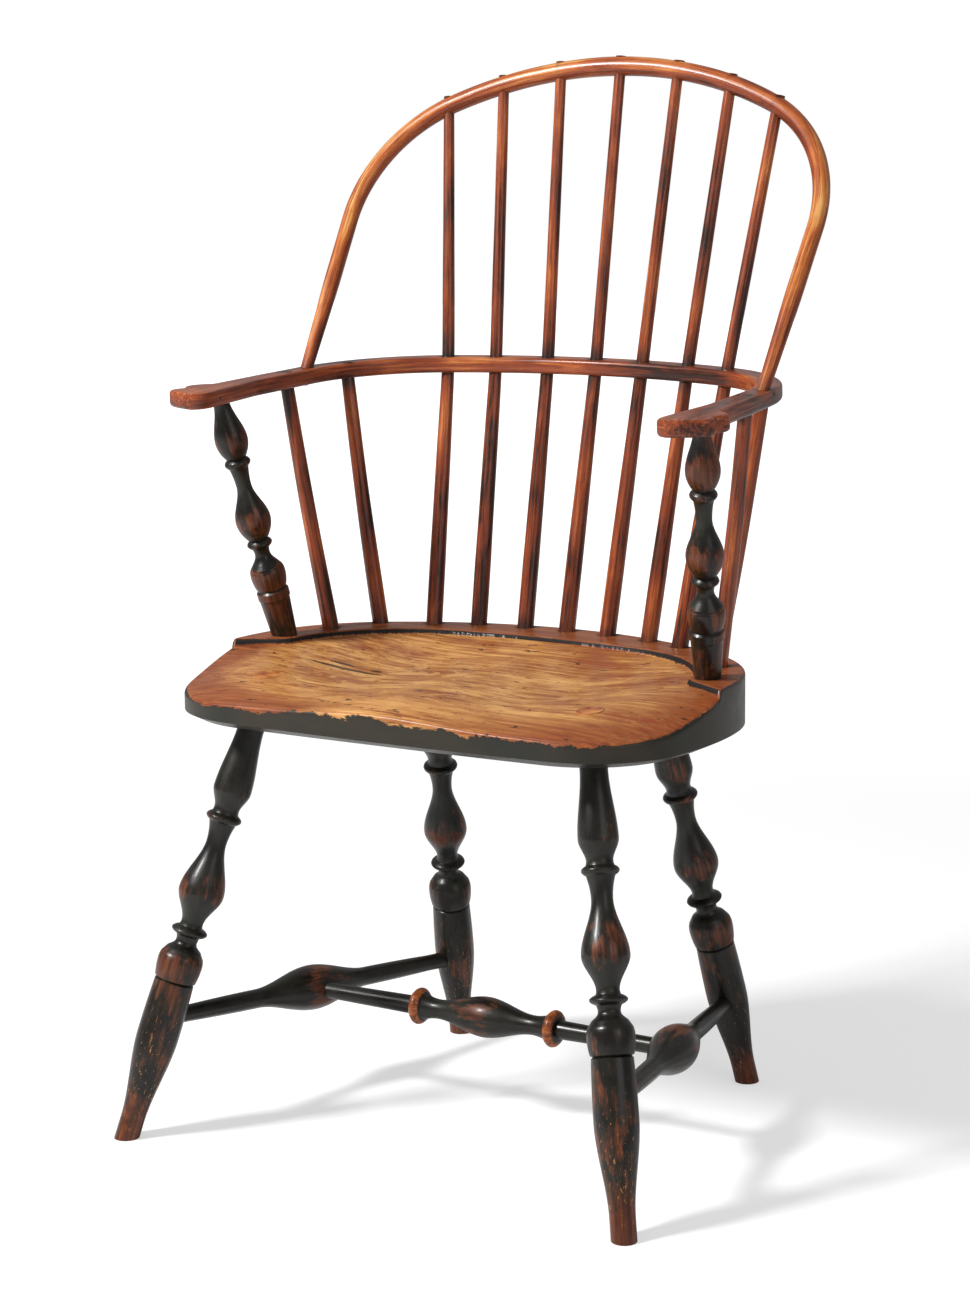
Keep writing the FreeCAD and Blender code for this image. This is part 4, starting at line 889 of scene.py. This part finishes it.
def make_short_spindles(material):
    """Four spindles from the seat to the arm rail."""
    thick = SHORT_SPINDLE_DIAMETERS[0]
    for side_name, side in SIDES.items():
        for key, (seat_x, seat_y, rail_x, rail_y) in SHORT_SPINDLES.items():
            foot = np.array([side * seat_x, seat_y, SEAT_TOP])
            top = on_rail(side * rail_x, rail_y, 0)
            waist = (foot + top) / 2 + np.array([side * 2, 0, 0])
            low = foot + unit(foot - waist) * TENON_DEPTH
            high = top - unit(top - waist) * 0.3
            path = bent_path(low, waist, high, 60)
            place_on = along(path)
            end = place_on[-1]
            stations = (0, TENON_DEPTH, end / 2, end)
            radii = np.interp(place_on, stations, (thick, *SHORT_SPINDLE_DIAMETERS)) / 2
            dirt = joint_dirt(place_on, (TENON_DEPTH, 55, 0.62), (end - 16, 40, 0.7))
            name = f"short_spindle_{side_name}_{key}"
            tube(name, path, radii, SIDEWAYS, dirt, even_wear(0.02), material, "spindles")


def natural_spline(knots):
    """Matrix from values at the knots to second derivatives there."""
    count = len(knots)
    gaps = np.diff(knots)
    left = np.eye(count)
    right = np.zeros((count, count))
    for i in range(1, count - 1):
        left[i, i - 1 : i + 2] = gaps[i - 1], 2 * (gaps[i - 1] + gaps[i]), gaps[i]
        right[i, i - 1 : i + 2] = 6 / gaps[i - 1], -6 / gaps[i - 1] - 6 / gaps[i], 6 / gaps[i]
    return np.linalg.solve(left, right)


def spline_weights(knots, x):
    """Weights of the knots' values in a natural spline at each x."""
    knots = np.asarray(knots, float)
    bends = natural_spline(knots)
    i = np.clip(np.searchsorted(knots, x) - 1, 0, len(knots) - 2)
    gap = knots[i + 1] - knots[i]
    a = (knots[i + 1] - x) / gap
    b = 1 - a
    eye = np.eye(len(knots))
    ends = a[:, None] * eye[i] + b[:, None] * eye[i + 1]
    curve = (a ** 3 - a)[:, None] * bends[i] + (b ** 3 - b)[:, None] * bends[i + 1]
    return ends + curve * (gap ** 2)[:, None] / 6


def saddle_height(x, y):
    """Height of the carved seat top at flat arrays of X and Y."""
    across = [-value for value in SADDLE_ACROSS[:0:-1]] + list(SADDLE_ACROSS)
    endways = list(SADDLE_ROWS)
    heights = np.array([row[:0:-1] + row for row in SADDLE_ROWS.values()], float)
    column_weights = spline_weights(across, np.clip(x, across[0], across[-1]))
    row_weights = spline_weights(endways, np.clip(y, endways[0], endways[-1]))
    return np.einsum("pi,pj,ij->p", row_weights, column_weights, heights)


def groove_line():
    """Points of the groove's centre line in plan, from the right edge to the left."""
    crown = np.array([0, GROOVE_CROWN - GROOVE_BACK_RADIUS])
    reach = GROOVE_BACK_RADIUS - GROOVE_SHOULDER_RADIUS
    shoulder = bend_centre(crown, GROOVE_SHOULDER_CENTRE, reach)
    ogee = shoulder + spoke(GROOVE_OGEE_START) * (GROOVE_SHOULDER_RADIUS + GROOVE_OGEE_RADIUS)
    joint = bearing(shoulder - crown)
    inward = spoke(GROOVE_EXIT)[::-1]
    ogee_end = ogee - inward * GROOVE_OGEE_RADIUS
    exit_bearing = bearing(-inward) % (2 * math.pi)
    right = [ogee_end + spoke(-GROOVE_EXIT) * GROOVE_OVERRUN, ogee_end]
    right += arc(ogee, GROOVE_OGEE_RADIUS, np.linspace(exit_bearing, GROOVE_OGEE_START + math.pi, 24))
    right += arc(shoulder, GROOVE_SHOULDER_RADIUS, np.linspace(GROOVE_OGEE_START, joint, 40))
    right += arc(crown, GROOVE_BACK_RADIUS, np.linspace(joint, QUARTER, 30)[1:])
    return both_sides(np.array(right))


def distance_to_line(x, y, line):
    """Distance of each point from a polyline."""
    best = np.full(x.shape, 1e9)
    for start, end in zip(line, line[1:]):
        run = end - start
        share = ((x - start[0]) * run[0] + (y - start[1]) * run[1]) / max(run @ run, 1e-9)
        share = np.clip(share, 0, 1)
        best = np.minimum(best, np.hypot(x - start[0] - share * run[0], y - start[1] - share * run[1]))
    return best


def ahead_of(x, y, line):
    """Distance from the groove line: above 0 in front of it and below 0 behind it."""
    front = SEAT_FRONT - SEAT_THICKNESS
    corners = np.concatenate([line, [[line[-1][0], front], [line[0][0], front]]])
    inside = np.zeros(x.shape, bool)
    for start, end in zip(corners, np.roll(corners, -1, axis=0)):
        spans = (start[1] > y) != (end[1] > y)
        rise = end[1] - start[1] or 1e-9
        crossing = start[0] + (y - start[1]) * (end[0] - start[0]) / rise
        inside ^= spans & (x < crossing)
    return distance_to_line(x, y, line) * np.where(inside, 1, -1)


def tangent_centre(first, first_reach, second, second_reach):
    """Point at the given distances from two centres, on the +X side."""
    gap = second - first
    span = np.linalg.norm(gap)
    onward = (first_reach ** 2 - second_reach ** 2 + span ** 2) / (2 * span)
    ahead = gap / span
    sideways = np.array([-ahead[1], ahead[0]]) * math.sqrt(first_reach ** 2 - onward ** 2)
    middle = first + ahead * onward
    return max(middle + sideways, middle - sideways, key=lambda point: point[0])


def seat_outline():
    """Points round the seat's plan, from the front middle to the right and round."""
    radii = SEAT_RADII
    front = np.array([0, SEAT_FRONT + radii["front"]])
    rear = np.array([0, SEAT_REAR - radii["rear"]])
    side = np.array([SEAT_HALF_WIDTH - radii["side"], SEAT_WIDEST_AT])
    corner, shoulder = (
        tangent_centre(end, radii[end_name] - radii[name], side, radii["side"] - radii[name])
        for end, end_name, name in ((front, "front", "corner"), (rear, "rear", "shoulder"))
    )
    joints = [bearing(corner - front), bearing(corner - side)]
    joints += [bearing(shoulder - side), bearing(shoulder - rear)]
    joints = [-QUARTER, *joints, QUARTER]
    right = []
    centres = (front, corner, side, shoulder, rear)
    for key, centre, first, last in zip(radii, centres, joints, joints[1:]):
        right += arc(centre, radii[key], np.linspace(first, last, 160, endpoint=False))
    closed = both_sides(np.array([*right, [0, SEAT_REAR]]))
    closed[-1] = closed[0]
    distance = along(closed)
    spots = np.linspace(0, distance[-1], SEAT_POINTS_AROUND, endpoint=False)
    return np.stack([np.interp(spots, distance, closed[:, column]) for column in (0, 1)], -1)


def seat_top(x, y, line):
    """Height of the finished seat top, and the signed distance from the groove."""
    shape = x.shape
    flat_x = x.ravel()
    flat_y = y.ravel()
    ahead = ahead_of(flat_x, flat_y, line)
    saddle = np.minimum(saddle_height(flat_x, flat_y), SEAT_TOP)
    height = np.where(ahead > 0, saddle, SEAT_TOP)
    depth = GROOVE_DEPTH * np.clip(1 - np.abs(ahead) / GROOVE_HALF_WIDTH, 0, 1)
    near = np.abs(ahead) < GROOVE_HALF_WIDTH
    height = np.where(near, np.minimum(height, SEAT_TOP - depth), height)
    return height.reshape(shape), ahead.reshape(shape)


def raised(flat, height):
    """Points in plan, lifted to a height."""
    return np.concatenate([flat, np.broadcast_to(height, flat.shape[:-1])[..., None]], -1)


def seat_rings(rim, inward, line):
    """Rings of the seat's top in plan, from its middle out, close together at the groove."""
    spans = rim + inward * SEAT_ROUNDING - SEAT_CENTRE
    reach = np.linalg.norm(spans, axis=1)
    crossing = np.minimum(groove_reach(SEAT_CENTRE, spans / reach[:, None], line), reach + 8)
    shares = (np.linspace(0, 1, SEAT_RINGS["saddle"]) ** 0.9)[:-3]
    rings = [np.minimum(crossing * share, crossing - GROOVE_HALF_WIDTH * 1.15) for share in shares]
    rings += [crossing + share * GROOVE_HALF_WIDTH for share in GROOVE_RINGS]
    last = rings[-1]
    rings += [last + (reach - last) * share for share in np.linspace(0, 1, SEAT_RINGS["deck"])[1:]]
    return SEAT_CENTRE + spans * (np.clip(rings, 0, reach) / reach)[..., None]


def seat_points(rim, line):
    """Rings of the whole seat, and the top's signed distances from the groove."""
    inward = unit(SEAT_CENTRE - rim)
    top = seat_rings(rim, inward, line)
    top_z, ahead = seat_top(top[..., 0], top[..., 1], line)
    rim_z, _ = seat_top(rim[:, 0], rim[:, 1], line)
    edge_z = np.minimum(top_z[-1], rim_z)
    rows = list(raised(top, top_z))
    for angle in np.linspace(0, QUARTER, SEAT_RINGS["rounding"])[1:]:
        inset, drop = (SEAT_ROUNDING - SEAT_ROUNDING * turn for turn in spoke(angle)[::-1])
        rows.append(raised(rim + inward * inset, edge_z - drop))
    wall_top = rows[-1][:, 2]
    wall = SEAT_UNDERSIDE + SEAT_BEVEL_HEIGHT - wall_top
    for share in np.linspace(0, 1, SEAT_RINGS["wall"])[1:]:
        rows.append(raised(rim, wall_top + wall * share))
    under = rim + inward * SEAT_BEVEL_INSET
    rows.append(raised(under, SEAT_UNDERSIDE))
    for share in (0.6, 0.05):
        rows.append(raised(SEAT_CENTRE + (under - SEAT_CENTRE) * share, SEAT_UNDERSIDE))
    return np.array(rows), ahead


def make_seat(material):
    """Seat plank: carved top, rounded rim, painted sides and bevelled underside."""
    rim = seat_outline()
    points, ahead = seat_points(rim, groove_line())
    top_rows = len(ahead)
    x, y, z = np.moveaxis(points, -1, 0)
    on_top = np.zeros(x.shape)
    on_top[:top_rows] = 1
    gap = np.full(x.shape, 50.0)
    gap[:top_rows] = ahead
    to_rim = np.linalg.norm(points[..., :2] - rim, axis=-1) * on_top
    margin = np.clip(1 - to_rim / MARGIN_WIDTH, 0, 1) * np.clip(np.abs(x) / 170, 0.12, 1)
    margin = np.maximum(margin, on_top * (gap < 0) * 0.75)
    in_groove = np.clip((z - SEAT_TOP + GROOVE_DEPTH + 1.5) / 1.5, 0.25, 1)
    groove = on_top * np.clip(1.3 - np.abs(gap) / GROOVE_HALF_WIDTH, 0, 1) * in_groove
    beside_groove = np.clip(1 - np.abs(gap) / 14, 0, 1) * 0.3 * on_top
    dirt = np.maximum(groove, beside_groove)
    for spot_x, spot_y in seat_sockets():
        near = np.hypot(x - spot_x, y - spot_y)
        dirt = np.maximum(dirt, on_top * np.clip(1.1 - near / 18, 0, 0.8))
    worn_edge = 3 + 9 * np.clip((-y - 60) / 100, 0, 1) * np.clip((230 - np.abs(x)) / 60, 0, 1)
    paint = np.clip(0.3 + (z[top_rows - 1] - z) / worn_edge, 0, 1.15) * (1 - on_top)
    paint = np.maximum(paint, on_top * np.clip(0.34 - to_rim / 16, 0, 1))
    stain = np.zeros(x.shape)
    for spot_x, spot_y, length, width in CRACKS:
        from_crack = np.hypot((x - spot_x) / length, (y - spot_y) / width)
        stain = np.maximum(stain, np.clip(1.15 - from_crack, 0, 1) * on_top)
    numbers = {
        "grain": np.stack([y, z, x], -1) * MM + 5.1,
        "margin": margin,
        "dirt": dirt,
        "paint": paint,
        "bare": np.clip(1.2 - np.hypot((x + 30) / 210, (y + 70) / 120), 0, 1) * (gap > 8),
        "stain": stain,
    }
    piece = mesh_piece("seat_visual", points, numbers, material)
    sharpen(piece, 50)
    return place(piece, "seat", "seat")


def groove_reach(centre, headings, line):
    """Distance from a centre to the groove line along each heading, large where they don't meet."""
    best = np.full(len(headings), 1e6)
    for start, end in zip(line, line[1:]):
        run = end - start
        gap = start - centre
        across = headings[:, 0] * run[1] - headings[:, 1] * run[0]
        across = np.where(np.abs(across) < 1e-9, 1e-9, across)
        reach = (gap[0] * run[1] - gap[1] * run[0]) / across
        place_on = (gap[0] * headings[:, 1] - gap[1] * headings[:, 0]) / across
        meets = (place_on >= 0) & (place_on <= 1) & (reach > 0)
        best = np.where(meets, np.minimum(best, reach), best)
    return best


def seat_sockets():
    """Places where spindles and posts stand on the seat."""
    for side in SIDES.values():
        for x, y, *_ in LONG_SPINDLES.values():
            yield side * x, y
        for x, y, *_ in SHORT_SPINDLES.values():
            yield side * x, y
        yield side * POST_FOOT[0], POST_FOOT[1]


def joint_point(where, side):
    """Where a side stretcher's axis meets a leg's axis."""
    foot, top = np.array(LEGS[where], float)
    run = (top - foot) * (STRETCHER_HEIGHTS[where] - foot[2]) / (top[2] - foot[2])
    return mirrored(foot + run, side)


def bulb_point(side):
    """Middle of a side stretcher's bulb."""
    front = joint_point("front", side)
    return front + (joint_point("rear", side) - front) * BULB_SHARE


def make_base(materials):
    """Legs, stretchers and arm posts."""
    line = groove_line()

    def saddle(x, y):
        return seat_top(x, y, line)[0] + 0.12

    def turned(name, start, end, stations, limits, material="base", slot="base", more=(), **options):
        look = materials[material]
        nodes = [name, *more]
        lathe(name + "_visual", start, end, stations, limits, look, slot, nodes, **options)

    for where, (foot, top) in LEGS.items():
        level = saddle if where == "front" else None
        for side_name, side in SIDES.items():
            name = f"leg_{where}_{side_name}"
            more = ["leg_wedges"] if name == "leg_front_left" else []
            start, end = mirrored(foot, side), mirrored(top, side)
            limits = (LEG_START, LEG_ENDS[where])
            turned(name, start, end, LEG, limits, more=more, foot=True, level=level)
    for side_name, side in SIDES.items():
        start, end = bulb_point(side), joint_point("rear", side)
        ahead = np.linalg.norm(joint_point("front", side) - start) + TENON_PAST_AXIS
        behind = np.linalg.norm(end - start) + TENON_PAST_AXIS
        turned(f"side_stretcher_{side_name}", start, end, twin(SIDE_STRETCHER), (-ahead, behind))
    left, right = bulb_point(-1), bulb_point(1)
    middle = (left + right) / 2
    reach = np.linalg.norm(right - middle) + TENON_PAST_AXIS
    turned("medial_stretcher", middle, right, twin(MEDIAL_STRETCHER), (-reach, reach), rims=True)
    for side_name, side in SIDES.items():
        start = mirrored(POST_FOOT, side)
        end = mirrored(on_rail(*POST_TOP, RAIL_THICKNESS), side)
        limits = (POST_START, np.linalg.norm(end - start) + POST_PAST_RAIL)
        turned(f"arm_post_{side_name}", start, end, POST, limits, "post_" + side_name, "posts")


def nail(name, spot, direction, material, *nodes):
    """Small domed nail head that stands a hair proud of the wood."""
    stations = ((-3, 3), (0.1, 3), (0.35, 0.4, LEVEL), (0.4, 0.2))
    lathe(name, spot, spot + direction, stations, (-3, 0.39), material, "pins", nodes)


def make_nails(material):
    """Nail heads on the hand-holds and at the ends of the bow."""
    _, bend = rail_arcs()
    outer = unit(np.array(BOW_FOOT) - bend)
    edge = bend + outer * (RAIL_BEND_RADIUS + RAIL_OUT)
    for side_name, side in SIDES.items():
        first = side_name == "left"
        spot = mirrored(rail_point(*HAND_NAIL, -HAND_NAIL_DEPTH), side)
        nodes = ["hand_hold_pins"] if first else []
        nail(f"hand_nail_{side_name}", spot, np.array([-side, 0, 0]), material, *nodes)
        spot = mirrored(rail_point(*edge, -BOW_NAIL_DEPTH), side)
        nodes = ["bow_end_pins"] if first else []
        nail(f"bow_nail_{side_name}", spot, mirrored((*outer, 0), side), material, *nodes)


def paint_node(node, material):
    """Give a CAD node that stays in view its material."""
    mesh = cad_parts[node].data
    mesh.materials.clear()
    mesh.materials.append(material)


def set_camera():
    """Camera that matches the photograph."""
    angles = CAMERA_AZIMUTH, CAMERA_ELEVATION, CAMERA_ROLL
    azimuth, elevation, roll = (math.radians(angle) for angle in angles)
    level = math.cos(elevation)
    back = Vector((math.sin(azimuth) * level, -math.cos(azimuth) * level, math.sin(elevation)))
    right = Vector((math.cos(azimuth), math.sin(azimuth), 0))
    up = back.cross(right)
    rolled_right = right * math.cos(roll) + up * math.sin(roll)
    rolled_up = up * math.cos(roll) - right * math.sin(roll)
    data = bpy.data.cameras.new("camera")
    longest = max(PHOTO_WIDTH, PHOTO_HEIGHT)
    data.sensor_fit = "AUTO"
    data.sensor_width = 36
    data.lens = FOCAL_LENGTH_PX * data.sensor_width / longest
    data.shift_x = (PHOTO_WIDTH / 2 - CENTRE_X_PX) / longest
    data.shift_y = (CENTRE_Y_PX - PHOTO_HEIGHT / 2) / longest
    data.clip_end = 50
    camera = linked("camera", data)
    spot = (Vector(CAMERA_TARGET) + back * CAMERA_DISTANCE) * MM
    turn = Matrix((rolled_right, rolled_up, back)).transposed().to_4x4()
    camera.matrix_world = Matrix.Translation(spot) @ turn
    bpy.context.scene.camera = camera


def area_light(name, spot, target, size, power):
    """Square light that faces a target."""
    data = bpy.data.lights.new(name, "AREA")
    data.size = size
    data.energy = power
    light = linked(name, data)
    light.location = spot
    light.rotation_euler = (Vector(target) - Vector(spot)).to_track_quat("-Z", "Y").to_euler()


def set_lights():
    """White studio: an even surround, a soft key from the front left and a weak fill."""
    world = bpy.data.worlds.new("studio")
    world.use_nodes = True
    bpy.context.scene.world = world
    tree = world.node_tree
    background = tree.nodes["Background"]
    background.inputs["Color"].default_value = (1, 1, 1, 1)
    path = tree.nodes.new("ShaderNodeLightPath")
    strength = tree.nodes.new("ShaderNodeMapRange")
    strength.inputs["To Min"].default_value = 0.34
    strength.inputs["To Max"].default_value = 1.0
    tree.links.new(path.outputs["Is Camera Ray"], strength.inputs["Value"])
    tree.links.new(strength.outputs[0], background.inputs["Strength"])
    area_light("key", (-1.7, -2.3, 2.9), (0, 0, 0.4), 0.6, 190)
    area_light("fill", (2.6, -1.2, 1.6), (0, 0, 0.5), 1.6, 14)
    bpy.context.scene.view_settings.view_transform = "Standard"


def set_floor():
    """White floor, kept bright to the camera so that its shadows stay pale."""
    shader = Shader("floor")
    mottle = shader.add("ShaderNodeTexNoise", {"Scale": 3.0}).outputs[0]
    white = shader.mix(mottle, (0.9, 0.9, 0.9, 1), (0.92, 0.92, 0.92, 1))
    for key, value in (("Base Color", white), ("Roughness", 0.9), ("Specular IOR Level", 0.1)):
        shader.feed(shader.surface.inputs[key], value)
    glow = shader.add("ShaderNodeEmission", {"Color": (1, 1, 1, 1), "Strength": 1.3})
    path = shader.add("ShaderNodeLightPath", {})
    place_on = shader.add("ShaderNodeTexCoord", {}).outputs["Object"]
    far = shader.add("ShaderNodeVectorMath", {0: place_on}, operation="LENGTH").outputs["Value"]
    far = shader.step(far, 1.1, 3.0)
    share = shader.times(path.outputs["Is Camera Ray"], shader.total(0.4, shader.times(far, 0.6)))
    mixed = {0: share, 1: shader.surface.outputs[0], 2: glow.outputs[0]}
    both = shader.add("ShaderNodeMixShader", mixed)
    output = shader.tree.nodes["Material Output"]
    shader.feed(output.inputs["Surface"], both.outputs[0])
    around = ((-1, -1), (1, -1), (1, 1), (-1, 1))
    corners = [(x * FLOOR_REACH, y * FLOOR_REACH, FLOOR_LEVEL) for x, y in around]
    floor = mesh_object("floor", corners, [(0, 1, 2, 3)], shader.material)


def main():
    """Build the whole picture."""
    materials = {
        "seat": seat_wood("seat_wood"),
        "base": painted_wood("base_paint", 0.1, 1.0),
        "post_left": painted_wood("post_paint_left", 0.36, 0.0),
        "post_right": painted_wood("post_paint_right", 0.2, 0.0),
        "rail": polished_wood("rail_wood", 0.24),
        "bow": polished_wood("bow_wood", 0.34),
        "spindles": polished_wood("spindle_wood", 0.27),
        "wedges": plain_finish("wedge_wood", DARK_BROWN, 0.5),
        "pins": plain_finish("nail_iron", IRON, 0.45),
    }
    make_seat(materials["seat"])
    make_base(materials)
    make_rail(materials["rail"])
    make_bow(materials["bow"])
    make_long_spindles(materials["spindles"])
    make_short_spindles(materials["spindles"])
    make_nails(materials["pins"])
    make_spindle_wedges(materials["wedges"])
    for node in ("arm_post_wedges", "short_spindle_wedges", "bow_end_wedges"):
        paint_node(node, materials["wedges"])
    set_camera()
    set_lights()
    set_floor()


main()
